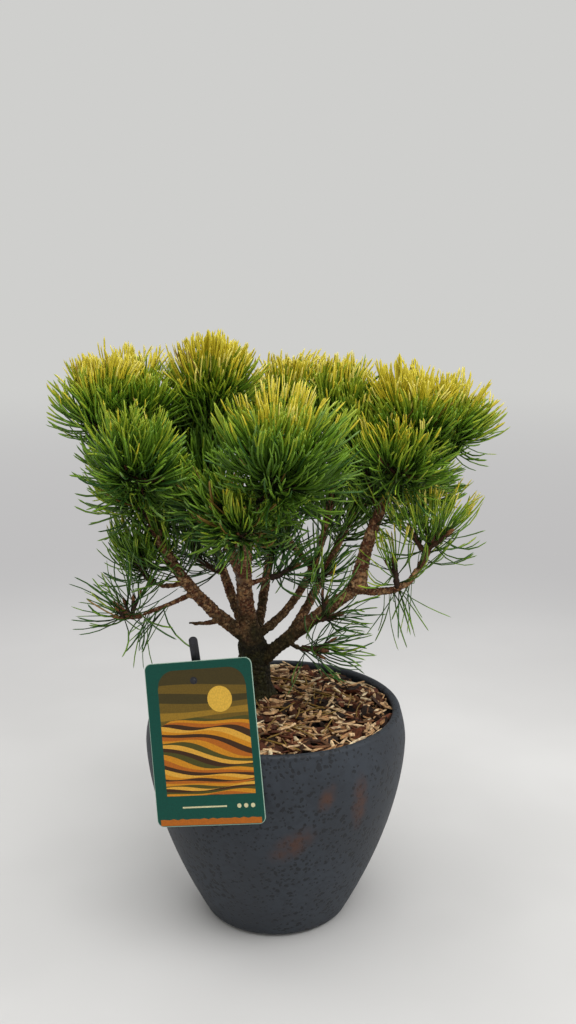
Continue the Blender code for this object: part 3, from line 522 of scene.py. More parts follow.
class Soup:
    """Triangles with a material number each, gathered for one object."""

    def __init__(self):
        self.verts = []
        self.faces = []
        self.slots = []
        self.count = 0

    def add(self, verts, faces, slots):
        self.verts.append(np.asarray(verts, float).reshape(-1, 3))
        self.faces.append(np.asarray(faces, int) + self.count)
        self.slots.append(np.broadcast_to(slots, len(faces)))
        self.count += len(self.verts[-1])

    def make(self, name, materials, smooth=True):
        mesh = bpy.data.meshes.new(name)
        mesh.from_pydata(np.concatenate(self.verts) * MM, [], np.concatenate(self.faces))
        mesh.polygons.foreach_set("material_index", np.concatenate(self.slots).astype(np.int32))
        mesh.polygons.foreach_set("use_smooth", np.full(len(mesh.polygons), smooth))
        for material in materials:
            mesh.materials.append(material)
        return add_object(name, mesh)


def settle(obj, slot, *nodes):
    """Say what a finished piece rides on and replaces; its slot is not used."""
    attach(obj, "root")
    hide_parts(*nodes)


def bare_material(name, roughness, specular):
    material = bpy.data.materials.new(name)
    material.use_nodes = True
    shader = material.node_tree.nodes["Principled BSDF"]
    shader.inputs["Roughness"].default_value = roughness
    shader.inputs["Specular IOR Level"].default_value = specular
    return material, shader


def plain(name, colour, roughness, specular):
    material, shader = bare_material(name, roughness, specular)
    shader.inputs["Base Color"].default_value = (*linear(colour), 1.0)
    return material


class Nodes:
    """Short calls for building one material's node tree."""

    def __init__(self, name, roughness, specular):
        self.material, self.shader = bare_material(name, roughness, specular)
        self.tree = self.material.node_tree
        self.place = self.node("TexCoord").outputs["Object"]

    def feed(self, target, source):
        """Link an output to an input, or set the input to a value."""
        if hasattr(source, "is_output"):
            self.tree.links.new(source, target)
        else:
            target.default_value = source

    def node(self, kind, inputs=None, **settings):
        node = self.tree.nodes.new("ShaderNode" + kind)
        for key, value in settings.items():
            setattr(node, key, value)
        for key, source in (inputs or {}).items():
            self.feed(node.inputs[key], source)
        return node

    def noise(self, scale, detail=3.0):
        return self.node("TexNoise", {"Vector": self.place, "Scale": scale, "Detail": detail}).outputs["Fac"]

    def cells(self, scale, place=None):
        return self.node("TexVoronoi", {"Vector": place or self.place, "Scale": scale})

    def ramp(self, value, low, high, start=0.0, end=1.0):
        inputs = {"Value": value, "From Min": low, "From Max": high, "To Min": start, "To Max": end}
        return self.node("MapRange", inputs, interpolation_type="SMOOTHSTEP").outputs["Result"]

    def maths(self, operation, first, second):
        return self.node("Math", {0: first, 1: second}, operation=operation).outputs[0]

    def vector_maths(self, operation, inputs, output=0):
        return self.node("VectorMath", inputs, operation=operation).outputs[output]

    def mix(self, share, first, second):
        """Two colours by a share; each is an output or an 8-bit colour."""
        inputs = {"Factor": share}
        for slot, side in ((6, first), (7, second)):
            inputs[slot] = side if hasattr(side, "is_output") else (*linear(side), 1.0)
        return self.node("Mix", inputs, data_type="RGBA").outputs[2]

    def bump(self, height, distance, strength):
        inputs = {"Height": height, "Distance": distance, "Strength": strength}
        self.feed(self.shader.inputs["Normal"], self.node("Bump", inputs).outputs["Normal"])

    def colour(self, source):
        self.feed(self.shader.inputs["Base Color"], source)

    def roughness(self, source):
        self.feed(self.shader.inputs["Roughness"], source)


def grained(name, colour, roughness, scale, depth=0.22):
    """A colour that runs a little darker and lighter in a fine grain, with a faint relief."""
    m = Nodes(name, roughness, 0.28)
    grain = m.noise(scale, 4.0)
    darker = [channel * (1.0 - depth) for channel in colour]
    lighter = [min(255.0, channel * (1.0 + 0.6 * depth)) for channel in colour]
    m.colour(m.mix(m.ramp(grain, 0.32, 0.68), darker, lighter))
    m.bump(grain, 0.0004, depth)
    return m.material


def palette(make, prefix, colours, *settings):
    """A material for each colour of a table, in the table's order."""
    return [make(f"{prefix}_{name}", colour, *settings) for name, colour in colours.items()]


def pot_material():
    """Dark clay with soft clouds, ragged specks and a few smears of soil."""
    m = Nodes("pot_clay", 0.62, 0.36)
    cloud = m.noise(14.0, 4.0)
    drift = m.node("TexNoise", {"Vector": m.place, "Scale": 260.0})
    shift = m.vector_maths("SCALE", {0: drift.outputs["Color"], "Scale": 0.0035})
    ragged = m.vector_maths("ADD", {0: m.place, 1: shift})
    patches = m.ramp(m.noise(22.0, 2.0), 0.38, 0.62, 0.78, 1.2)
    specks = []
    for scale, size in ((140.0, 0.27), (245.0, 0.30)):
        wanted = m.maths("MULTIPLY", patches, size)
        near = m.maths("SUBTRACT", wanted, m.cells(scale, ragged).outputs["Distance"])
        specks.append(m.ramp(near, -0.03, 0.08))
    speck = m.maths("MAXIMUM", *specks)
    body = m.mix(m.ramp(cloud, 0.3, 0.7), (38, 43, 50), (49, 55, 63))
    body = m.mix(m.ramp(m.noise(190.0, 3.0), 0.42, 0.72, 0.0, 0.45), body, (33, 36, 42))
    body = m.mix(m.maths("MULTIPLY", speck, 0.75), body, (18, 20, 24))
    grime = m.ramp(m.noise(120.0, 4.0), 0.36, 0.64, 0.3, 0.85)
    for smear in SMEARS:
        body = m.mix(m.maths("MULTIPLY", smear_mask(m, *smear), grime), body, (74, 47, 35))
    m.colour(body)
    m.roughness(m.ramp(cloud, 0.3, 0.7, 0.55, 0.68))
    fine = m.maths("MULTIPLY", m.noise(700.0, 2.0), 0.25)
    m.bump(m.maths("SUBTRACT", fine, speck), 0.0004, 0.6)
    return m.material


def smear_mask(m, centre, length, width, turn):
    """One where dried soil marks the pot: a soft ellipse on its side, turned about the view."""
    inputs = {
        "Vector": m.place,
        "Location": [c * MM for c in centre],
        "Rotation": (0.0, -turn, math.atan2(centre[1], centre[0]) + math.pi / 2),
        "Scale": (length * MM, SMEAR_DEPTH * MM, width * MM),
    }
    mapping = m.node("Mapping", inputs, vector_type="TEXTURE")
    reach = m.vector_maths("LENGTH", {0: mapping.outputs[0]}, "Value")
    return m.ramp(reach, 0.2, 1.15, 1.0, 0.0)


def pot_profile():
    """Radius and height up the pot's outside, over its lip and down to below the soil."""
    belly_height = POT_BELLY_SHARE * POT_HEIGHT
    points = [(0.0, 0.4), (POT_FOOT_RADIUS - 3.0, 0.4), (POT_FOOT_RADIUS, 0.0), (POT_HEEL_RADIUS - 1.2, 1.6)]
    for height in np.linspace(POT_HEEL_HEIGHT, belly_height, 34):
        fullness = 1.0 - (1.0 - height / belly_height) ** POT_FULLNESS
        points.append((POT_HEEL_RADIUS + (POT_BELLY_RADIUS - POT_HEEL_RADIUS) * fullness, height))
    lip = POT_WALL / 2
    shoulder = POT_HEIGHT - lip
    for share in np.linspace(0.15, 1.0, 8):
        height = belly_height + (shoulder - belly_height) * share
        points.append((POT_BELLY_RADIUS - (POT_BELLY_RADIUS - POT_RIM_RADIUS) * share**1.7, height))
    for turn in np.linspace(0.12, math.pi, 12):
        points.append((POT_RIM_RADIUS - lip + lip * math.cos(turn), shoulder + lip * math.sin(turn)))
    for height in np.linspace(shoulder - 3.0, POT_INSIDE_LOW, 6):
        points.append((POT_RIM_RADIUS - POT_WALL + 0.4, height))
    return points


def make_pot():
    profile = np.array(pot_profile())
    turns = full_turn(POT_SIDES)
    radius, height = profile[:, :1], profile[:, 1:]
    rings = np.stack([radius * np.cos(turns), radius * np.sin(turns), height + 0 * turns], axis=2)
    soup = Soup()
    soup.add(rings, tube_faces(len(profile), POT_SIDES), 0)
    settle(soup.make("pot_shell", [pot_material()]), "pot_clay", "pot")


def from_trunk(x, y):
    return np.hypot(x - TRUNK_FOOT[0], y - TRUNK_FOOT[1])


def soil_height(x, y):
    wave = np.sin(x * 0.11 + 1.0) * np.cos(y * 0.13) + 0.6 * np.sin(y * 0.21)
    away = clamp((from_trunk(x, y) - SOIL_LEVEL_RADIUS) / (SOIL_MOUND_RADIUS - SOIL_LEVEL_RADIUS))
    return SOIL_LEVEL + SOIL_MOUND * (1.0 - away) + SOIL_UNEVEN * wave * away


def make_soil():
    """The dark ground that shows between the chips."""
    reach = np.linspace(0.0, POT_RIM_RADIUS - POT_WALL - 0.2, GROUND_RINGS)
    turns = full_turn(GROUND_SIDES)
    x = np.outer(reach, np.cos(turns))
    y = np.outer(reach, np.sin(turns))
    z = soil_height(x, y) - GROUND_DEPTH
    for index in np.ndindex(z.shape):
        z[index] += 1.6 * noise.noise((x[index] * 0.3, y[index] * 0.3, 0.0))
    soup = Soup()
    top_faces = tube_faces(GROUND_RINGS, GROUND_SIDES)[: 2 - GROUND_SIDES]
    soup.add(np.stack([x, y, z], axis=2), top_faces, 0)
    m = Nodes("soil_dark", 0.9, 0.2)
    m.colour(m.mix(m.ramp(m.noise(400.0), 0.35, 0.65), (10, 6, 5), (30, 18, 12)))
    m.bump(m.noise(900.0), 0.001, 0.8)
    settle(soup.make("soil_ground", [m.material]), "bark_mulch", "soil")


def chips(soup, count, rng, size, crook, slots, lift):
    """Splinters or flakes strewn on the mulch: five-sided bars with broken ends."""
    edge = POT_RIM_RADIUS - POT_WALL - 2.5
    length, width, thickness = (rng.uniform(low, high, count) for low, high in size)
    length *= rng.uniform(0.5, 1.0, count)
    reach = edge * np.sqrt(rng.uniform(0.0, 1.0, count))
    turn = rng.uniform(0.0, 2 * math.pi, count)
    x, y = reach * np.cos(turn), reach * np.sin(turn)
    yaw = rng.uniform(0.0, math.pi, count)
    tilt = rng.normal(0.0, 0.26, count)
    roll = rng.normal(0.0, 0.55, count)
    near_wall = reach + 0.5 * length > edge
    yaw = np.where(near_wall, turn + math.pi / 2 + rng.normal(0.0, 0.35, count), yaw)
    tilt = np.where(near_wall, tilt * 0.4, tilt)
    along = np.stack([np.cos(yaw) * np.cos(tilt), np.sin(yaw) * np.cos(tilt), np.sin(tilt)], axis=1)
    level = np.stack([-np.sin(yaw), np.cos(yaw), 0 * yaw], axis=1)
    upward = np.cross(along, level)
    across = spread(level, upward, roll)
    above = spread(upward, -level, roll)
    z = soil_height(x, y) + rng.uniform(*lift, count) - 0.35 * np.abs(np.sin(tilt)) * length
    centre = np.stack([x, y, z], axis=1)
    angles = full_turn(CHIP_SIDES)
    faces = tube_faces(len(CHIP_SHARES), CHIP_SIDES)
    for i in np.flatnonzero(from_trunk(x, y) > TRUNK_RADIUS + TRUNK_FLARE - 1.0):
        bend = crook * rng.normal(0.0, 1.0) * (1.0 - (2 * CHIP_SHARES) ** 2)
        wide = CHIP_WIDTHS * rng.uniform(0.7, 1.1, len(CHIP_SHARES)) * width[i] / 2
        deep = rng.uniform(0.7, 1.1, len(CHIP_SHARES)) * thickness[i] / 2
        ragged = rng.uniform(0.75, 1.15, (len(CHIP_SHARES), CHIP_SIDES))
        skew = rng.uniform(-0.06, 0.06, ragged.shape) * length[i]
        offset = (CHIP_SHARES * length[i])[:, None] + skew
        points = (
            centre[i]
            + offset[..., None] * along[i]
            + (wide[:, None] * ragged * np.cos(angles) + bend[:, None])[..., None] * across[i]
            + (deep[:, None] * ragged * np.sin(angles))[..., None] * above[i]
        )
        soup.add(points, faces, slots[int(rng.integers(len(slots)))])


def make_mulch():
    rng = np.random.default_rng(11)
    materials = palette(grained, "chip", dict(enumerate(CHIP_COLOURS, 1)), 0.85, 260.0)
    for name, sorts in CHIP_SORTS.items():
        soup = Soup()
        for count, *sort in sorts:
            chips(soup, count, rng, *sort)
        settle(soup.make(name, materials, smooth=False), "bark_mulch", "soil")


def label_axes():
    """Right, up and outward directions of the card."""
    level = np.array([math.cos(LABEL_YAW), -math.sin(LABEL_YAW), 0.0])
    front = np.array([-math.sin(LABEL_YAW), -math.cos(LABEL_YAW), 0.0])
    rise = spread(UP, -front, LABEL_LEAN)
    out = spread(front, UP, LABEL_LEAN)
    return spread(level, rise, LABEL_ROLL), spread(rise, -level, LABEL_ROLL), out


def label_centre():
    """The card's middle, set so that its back lies just clear of the pot's rim."""
    out = label_axes()[2]
    slope = math.hypot(out[0], out[1])
    reach = max(radius * slope + height * out[2] for radius, height in pot_profile())
    reach += 0.35 + LABEL_THICKNESS / 2
    y = (reach - LABEL_CENTRE_X * out[0] - LABEL_CENTRE_Z * out[2]) / out[1]
    return vector((LABEL_CENTRE_X, y, LABEL_CENTRE_Z))


def rounded_outline(width, height, corner, steps):
    points = []
    for quarter in range(4):
        centre_x = (1, -1, -1, 1)[quarter] * (width / 2 - corner)
        centre_y = (1, 1, -1, -1)[quarter] * (height / 2 - corner)
        for step in range(steps + 1):
            turn = math.pi / 2 * (quarter + step / steps)
            points.append((centre_x + corner * math.cos(turn), centre_y + corner * math.sin(turn)))
    return points


def stake_point(height):
    top, foot = vector(STAKE_TOP), vector(STAKE_FOOT)
    return foot + (top - foot) * (height - foot[2]) / (top[2] - foot[2])


def hole_centre():
    """The middle of the card's hole, straight in front of the stake."""
    out = label_axes()[2]
    behind = stake_point(HOLE_HEIGHT)
    return behind + out * np.dot(label_centre() - behind, out)


class Plate:
    """Flat pieces in one plane, given by places across and up it and a depth."""

    def __init__(self, axes, centre):
        self.axes = axes
        self.centre = centre
        self.soup = Soup()

    def at(self, x, y, depth):
        right, up, out = self.axes
        return self.centre + np.asarray(x)[..., None] * right + np.asarray(y)[..., None] * up + depth * out

    def slab(self, outline, low, high, bevel, slot):
        """A plate between two depths with its edges rounded off."""
        outline = np.array(outline)
        middle = outline.mean(0)
        size = np.abs(outline - middle).max(0)
        rings = []
        for depth, inset in ((low, bevel), (low + bevel, 0.0), (high - bevel, 0.0), (high, bevel)):
            shrunk = middle + (outline - middle) * (1.0 - inset / size)
            rings.append(self.at(shrunk[:, 0], shrunk[:, 1], depth))
        self.soup.add(np.array(rings), tube_faces(4, len(outline)), slot)

    def band(self, x, low, high, lift, slot):
        """A strip of print between two curves given at the same places across the card."""
        count = len(x)
        i = np.arange(count - 1)
        faces = [np.stack([i, i + 1, i + 1 + count], 1), np.stack([i, i + 1 + count, i + count], 1)]
        self.soup.add([self.at(x, low, lift), self.at(x, high, lift)], np.concatenate(faces), slot)

    def disc(self, x, y, radius, lift, slot, sides=40, dome=0.0):
        turns = full_turn(sides)
        rings = [
            self.at(x + share * radius * np.cos(turns), y + share * radius * np.sin(turns), lift + rise)
            for share, rise in ((1.0, 0.0), (0.85, 0.55 * dome), (0.5, 0.9 * dome), (0.0, dome))
        ]
        self.soup.add(rings, tube_faces(4, sides)[: -2 * (sides - 2)], slot)


def picture_rows(share):
    """The upper edge and colour of each stripe of sky and field, from the top down."""
    for row, tone in enumerate(SKY):
        yield 50.0 - 6.0 * row + 2.0 * np.sin(3.0 * share + row), "sky_" + tone
    for row in range(FIELD_ROWS):
        slope = 9.0 * np.sin(2.2 * share + 0.21 * row) + 2.5 * np.sin(7.0 * share + 0.6 * row)
        ripple = 0.5 * np.sin(9.0 * share + 2 * row)
        crest = 14.0 - 2.0 * row + slope * (1.0 - row / 38.0) - 4.0 * share + ripple
        yield crest, "field_" + FIELDS[row % len(FIELDS)]


def draw_picture(card, lift, slots):
    """Striped sky and fields within sides that are straight and upper corners that are round."""
    left, right = PICTURE_SIDES
    low, high = PICTURE_FOOT_AND_TOP
    x = np.linspace(left, right, 73)
    into_corner = PICTURE_CORNER - np.minimum(np.minimum(x - left, right - x), PICTURE_CORNER)
    top = high - PICTURE_CORNER + np.sqrt(PICTURE_CORNER**2 - into_corner**2)
    slot = slots["sky_dark"]
    for crest, name in picture_rows((x - left) / (right - left)):
        crest = clamp(np.minimum(crest, top), low, None)
        card.band(x, crest, top, lift, slot)
        top, slot = crest, slots[name]
    card.band(x, 0 * x + low, top, lift, slot)


def make_label():
    """The card, and on its front a picture of a sun over fields, a bar, a rule and dots."""
    slots = {name: slot for slot, name in enumerate(LABEL_COLOURS)}
    card = Plate(label_axes(), label_centre())
    half = LABEL_THICKNESS / 2
    front = half + 0.03
    lift = front + 0.05
    outline = rounded_outline(LABEL_WIDTH, LABEL_HEIGHT, LABEL_CORNER, 10)
    # The card's body, whose pale sides are a painted highlight along the edges.
    card.slab(outline, -half, half, 0.25, slots["card_edge"])
    face = rounded_outline(LABEL_WIDTH - 1.0, LABEL_HEIGHT - 1.0, LABEL_CORNER - 0.5, 10)
    card.slab(face, half - 0.1, front, 0.02, slots["card_green"])
    draw_picture(card, lift, slots)
    card.disc(*SUN_PLACE, SUN_RADIUS, front + 0.08, slots["sun"])
    bar = np.linspace(3.0 - LABEL_WIDTH / 2, LABEL_WIDTH / 2 - 3.0, 24)
    foot, top = BAR_HEIGHTS
    card.band(bar, 0 * bar + foot, 0.5 * np.sin(bar) + top, lift, slots["field_amber"])
    rule = np.linspace(*RULE_ENDS, 3)
    card.band(rule, *(0 * rule + height for height in RULE_HEIGHTS), lift, slots["ink_pale"])
    for place in DOTS:
        card.disc(*place, DOT_RADIUS, lift, slots["ink_pale"], 20)
    materials = palette(grained, "label", LABEL_COLOURS, 0.36, 900.0, 0.06)
    settle(card.soup.make("plant_label", materials, smooth=False), "label_print", "label_card")


def make_stake():
    """The black stake with a rounded top and a rib, and its nib through the card's hole."""
    top, foot = vector(STAKE_TOP), vector(STAKE_FOOT)
    up = unit(top - foot)
    out = unit(np.cross(label_axes()[0], up))
    half = STAKE_WIDTH / 2
    end = np.linalg.norm(top - foot) / 2
    outline = [(-half, -end), (half, -end)]
    for side, start in ((1, 0.0), (-1, math.pi / 2)):
        for turn in np.linspace(start, start + math.pi / 2, 8):
            x = side * (half - STAKE_CORNER) + STAKE_CORNER * math.cos(turn)
            outline.append((x, end - STAKE_CORNER + STAKE_CORNER * math.sin(turn)))
    stake = Plate((np.cross(up, out), up, out), (top + foot) / 2)
    depth = STAKE_THICKNESS / 2
    stake.slab(outline, -depth, depth, 0.35, 0)
    rib = [(-0.9, 4.0 - end), (0.9, 4.0 - end), (0.9, end - 5.0), (-0.9, end - 5.0)]
    stake.slab(rib, depth - 0.1, depth + 0.25, 0.1, 0)
    nib = Plate(label_axes(), hole_centre())
    nib.soup = stake.soup
    face = LABEL_THICKNESS / 2 + 0.1
    nib.disc(0.0, 0.0, HOLE_RADIUS, face, 0, 32)
    nib.disc(0.0, 0.0, NIB_RADIUS, face + 0.05, 0, 32, NIB_REACH - face)
    m = Nodes("stake_plastic", 0.35, 0.5)
    m.colour(m.mix(m.ramp(m.noise(300.0), 0.4, 0.7), (20, 20, 24), (34, 34, 42)))
    m.roughness(m.ramp(m.noise(500.0), 0.3, 0.7, 0.28, 0.5))
    settle(stake.soup.make("stake", [m.material], smooth=False), "stake_plastic", "label_stake")


def trunk_radii(path):
    """The trunk's radius, wide at the soil, with its top rounded in at the fork."""
    rise = path[:, 2] - path[0, 2]
    radii = TRUNK_RADIUS + TRUNK_FLARE * np.exp(-rise / TRUNK_FLARE_HEIGHT)
    radii += TRUNK_TAPER * (1.0 - rise / rise[-1])
    radii[-1] *= 0.72
    return radii


def trunk_swell(ring, turns):
    """Three root shoulders that fade out above the soil, under which the first ring lies."""
    steps = max(0, ring - 1) * LIMB_STEP / ROOT_SHOULDER_STEP
    return 1.0 + ROOT_SHOULDER * math.exp(-steps / 1.1) * np.cos(3 * turns + 0.6)


def limb_tubes():
    """The shape of the trunk and every limb, by name, as in the solids."""
    path = curve(vector(TRUNK_FOOT), vector(TRUNK_VIA), vector(TRUNK_FORK), 8)
    limbs = {"trunk": Tube(path, trunk_radii(path))}
    for limb in LIMBS:
        start = point_along(limbs[limb.parent].path, limb.share)
        via, end = vector(limb.via), vector(limb.end)
        length = np.linalg.norm(end - start)
        path = curve(start, via, end, 3 + int(length // 24))
        share = np.linspace(0.0, 1.0, len(path))
        radii = limb.root_radius + (limb.tip_radius - limb.root_radius) * share
        limbs[limb.name] = Tube(path, radii)
    return limbs


def segments_of(path):
    return np.stack([path[:-1], path[1:]], axis=1)


def distance_to_segments(points, segments):
    """Distance from each point to each segment."""
    start = segments[None, :, 0]
    along = segments[None, :, 1] - start
    offset = points[:, None] - start
    share = clamp((offset * along).sum(2) / (along * along).sum(2))
    return np.linalg.norm(offset - share[..., None] * along, axis=2)


def barrier_of(limbs):
    """Segments and radii of all the limbs, which no shoot or needle may touch."""
    segments = np.concatenate([segments_of(limb.path) for limb in limbs.values()])
    radii = np.concatenate([np.maximum(limb.radii[:-1], limb.radii[1:]) for limb in limbs.values()])
    return segments, radii


def stem_of(mass, limbs):
    """Centre line of a mass's stem, from inside its bough past the whorl to the tip."""
    root = point_along(limbs[mass.bough].path, mass.share)
    whorl, tip = vector(mass.whorl), vector(mass.tip)
    reach = whorl - root
    span = np.linalg.norm(reach)
    level = unit(np.array([reach[0], reach[1], 0.5 * reach[2]]))
    middle = (root + whorl) / 2 + 0.10 * span * level - 0.05 * span * UP
    return np.vstack([curve(root, middle, whorl, 4), tip])


def side_shoot(mass, number, turn, chance):
    """Centre line of one side shoot, which leaves the whorl and turns up a little."""
    whorl = vector(mass.whorl)
    axis = unit(vector(mass.tip) - whorl)
    angle = np.radians(mass.open * chance.uniform(0.85, 1.15))
    heading = unit(spread(axis, spread(*side_axes(axis), turn), angle) + SHOOT_RISE * UP)
    length = mass.reach * chance.uniform(0.85, 1.12)
    foot = whorl - axis * WHORL_STEP * number
    knee = foot + heading * length * 0.5
    return np.array([foot, knee, knee + unit(heading + SHOOT_TIP_RISE * UP) * length * 0.5])


def is_clear(path, segments, radii):
    """Whether a shoot's centre line, past its foot, keeps off the given limbs."""
    points = point_along(path, np.linspace(0.2, 1.0, 9))
    return ((distance_to_segments(points, segments) - radii) > SHOOT_CLEARANCE).all()


def plan_shoots(limbs):
    """Every mass's stem and side shoots; a side shoot with no clear way on any turn is left out."""
    shoots = {mass.name: [stem_of(mass, limbs)] for mass in MASSES}
    limb_segments, limb_radii = barrier_of(limbs)
    for mass in MASSES:
        chance = random.Random(mass.name)
        start_turn = chance.uniform(0.0, 2 * math.pi)
        others = [segments_of(path) for name, paths in shoots.items() if name != mass.name for path in paths]
        barrier = np.concatenate([limb_segments] + others)
        widths = np.concatenate([limb_radii] + [np.full(len(other), SHOOT_BERTH) for other in others])
        for number in range(mass.shoots):
            turn = start_turn + 2 * math.pi * (number + chance.uniform(-0.15, 0.15)) / mass.shoots
            for attempt in range(SHOOT_TRIES):
                path = side_shoot(mass, number, turn + SHOOT_TRY_TURN * attempt, chance)
                if is_clear(path, barrier, widths):
                    shoots[mass.name].append(path)
                    break
    return shoots


def branchlet_of(path, chance):
    """A short finer twig half way along a shoot."""
    heading = unit(path[-1] - path[-2])
    side = spread(*side_axes(heading), chance.uniform(0.0, 2 * math.pi))
    out = unit(heading + side * chance.uniform(0.55, 0.85) + SHOOT_RISE * UP)
    length = chance.uniform(*BRANCHLET_LENGTHS)
    foot = point_along(path, 0.5)
    knee = foot + out * length * 0.5
    return np.array([foot, knee, knee + unit(out + 0.4 * heading + 0.2 * UP) * length * 0.5])


def at_even_steps(path, step):
    """A path's points at even steps, and their shares of its length."""
    count = max(6, int(lengths_along(path)[-1] / step))
    shares = np.linspace(0.0, 1.0, count)
    return point_along(path, shares), shares


def bark_material():
    m = Nodes("bark", 0.82, 0.25)
    mask = m.node("Attribute", attribute_name="bark_mask")
    knob, moss, scar = m.node("SeparateColor", {0: mask.outputs["Color"]}).outputs
    patch = m.noise(70.0, 4.0)
    grain = m.noise(520.0, 3.0)
    scale = m.cells(310.0)
    tint = m.node("SeparateColor", {0: scale.outputs["Color"]})
    rim = m.ramp(scale.outputs["Distance"], 0.42, 0.75)
    young = m.mix(m.ramp(tint.outputs[0], 0.1, 0.9), (92, 54, 33), (162, 122, 82))
    young = m.mix(m.ramp(patch, 0.45, 0.62, 0.0, 0.75), young, (94, 48, 30))
    young = m.mix(m.ramp(grain, 0.5, 0.68, 0.0, 0.55), young, (198, 168, 128))
    # Darker at the rim, the sunk borders of the scales, as painted shade in the crevices, and on the
    # needle-base knobs.
    dark = m.maths("MAXIMUM", m.maths("MULTIPLY", rim, 0.6), m.maths("MULTIPLY", knob, 0.95))
    young = m.mix(dark, young, (42, 25, 16))
    old = m.mix(m.ramp(patch, 0.35, 0.62), (26, 22, 10), (44, 44, 16))
    old = m.mix(m.ramp(grain, 0.45, 0.74, 0.0, 0.55), old, (78, 68, 38))
    # On the trunk the knob mask holds the sunk fissures between the plates, darkened as painted shade.
    old = m.mix(m.maths("MULTIPLY", knob, 0.7), old, (14, 10, 6))
    body = m.mix(moss, young, old)
    m.colour(m.mix(scar, body, (150, 146, 136)))
    m.bump(m.maths("SUBTRACT", m.maths("MULTIPLY", grain, 0.5), rim), 0.0009, 0.8)
    return m.material


def make_limbs(limbs):
    """Trunk and boughs as one grown-together body with the bark's relief."""
    soup = Soup()
    skin = {}
    for name, limb in limbs.items():
        path, shares = at_even_steps(limb.path, LIMB_STEP)
        radii = np.interp(shares, np.linspace(0.0, 1.0, len(limb.radii)), limb.radii) * BARK_SWELL
        start_radii = radii.copy()
        if name == "trunk":
            path = np.vstack([path[0] - ROOT_SINK * UP, path])
            radii = np.concatenate([radii[:1] * 1.06, radii])
        else:
            along = shares * lengths_along(path)[-1]
            radii = radii * (1.0 + 0.45 * np.exp(-along / 10.0))
            radii[-1] *= 0.6
            radii[-2] *= 0.92
        skin[name] = (path[-len(start_radii):], start_radii)
        rings = rings_round(path, radii, LIMB_SIDES, trunk_swell if name == "trunk" else None)
        soup.add(rings, tube_faces(len(path), LIMB_SIDES), 0)
    obj = soup.make("trunk_and_boughs", [bark_material()])
    melt = obj.modifiers.new("melt", "REMESH")
    melt.mode = "VOXEL"
    melt.voxel_size = BARK_VOXEL * MM
    melt.use_smooth_shade = True
    ease = obj.modifiers.new("ease", "SMOOTH")
    ease.iterations = 4
    mesh = bpy.data.meshes.new_from_object(obj.evaluated_get(bpy.context.evaluated_depsgraph_get()))
    obj.modifiers.clear()
    obj.data = mesh
    raise_bark(mesh, skin)
    settle(obj, "bark", *limbs)


def place_on_limbs(points, skin):
    """How far along its nearest limb each point is, its turn round it, and the limb's radius there."""
    best = np.full((4, len(points)), np.inf)
    for path, radii in skin.values():
        tangents = unit(np.gradient(path, axis=0))
        first, second = side_axes(tangents[0])
        lengths = lengths_along(path)
        for start in range(0, len(points), CHUNK):
            part = slice(start, start + CHUNK)
            gap = np.linalg.norm(points[part, None] - path[None], axis=2)
            nearest = gap.argmin(1)
            offset = points[part] - path[nearest]
            found = np.stack([
                gap[np.arange(len(nearest)), nearest] - radii[nearest],
                lengths[nearest] + (offset * tangents[nearest]).sum(1),
                np.arctan2(offset @ second, offset @ first),
                radii[nearest],
            ])
            best[:, part] = np.where(found[0] < best[0, part], found, best[:, part])
    return best[1:]


def noise_at(points, scale):
    return np.array([noise.noise(Vector(p) * scale) for p in points])


def raise_bark(mesh, skin):
    """Push the bark out into needle-base knobs on the boughs and into plates on the trunk."""
    points, normals = np.empty((2, 3 * len(mesh.vertices)))
    mesh.vertices.foreach_get("co", points)
    mesh.vertices.foreach_get("normal", normals)
    points = points.reshape(-1, 3) / MM
    normals = normals.reshape(-1, 3)
    reach, turn, thick = place_on_limbs(points, skin)
    pitch = 2.1 + 0.32 * thick
    left = np.cos(5 * turn + 2 * math.pi * reach / pitch)
    right = np.cos(3 * turn - 2 * math.pi * reach / (1.35 * pitch))
    rough, fine, drift = (noise_at(points, scale) for scale in (0.22, 0.8, 0.09))
    level = points[:, 2] + 22.0 * drift + 8.0 * rough
    old = clamp((thick - 7.0) / 3.5) * clamp((272.0 - level) / 26.0)
    old = np.maximum(old, 0.9 * clamp((276.0 - level) / 34.0))
    nearest_cells = np.array([noise.voronoi(Vector(p) * 0.24)[0][:2] for p in points])
    plates = clamp((nearest_cells[:, 1] - nearest_cells[:, 0]) * 3.0)
    knob = clamp(0.8 * left + 0.8 * right - 0.4) * clamp(0.85 + 1.2 * rough, 0.2)
    pit = clamp(1.5 * (left + right) - 1.1) * clamp(0.9 + rough, 0.3)
    young_lift = (0.25 + 0.07 * thick) * knob + 0.5 * rough + 0.25 * fine
    old_lift = 0.9 * plates - 0.7 + 0.7 * rough + 0.3 * fine
    lift = young_lift * (1.0 - old) + old_lift * old
    points += normals * lift[:, None]
    points[:, 2] = np.maximum(points[:, 2], BARK_FOOT)
    mesh.vertices.foreach_set("co", (points * MM).ravel())
    scar = clamp(1.4 - np.linalg.norm(points - vector(SCAR), axis=1) / 5.0) * clamp(0.6 + fine)
    # The mask's first channel marks the needle-base knobs on the boughs and, on the trunk, the sunk fissures
    # between the plates; the bark's colour darkens the fissures as painted shade.
    hollow = pit * (1 - old) + 0.7 * (1 - plates) * old
    mask = mesh.attributes.new("bark_mask", "FLOAT_COLOR", "POINT")
    mask.data.foreach_set("color", np.stack([hollow, old, scar, 0 * scar + 1], axis=1).ravel())
    mesh.polygons.foreach_set("use_smooth", np.full(len(mesh.polygons), True))
    mesh.update()


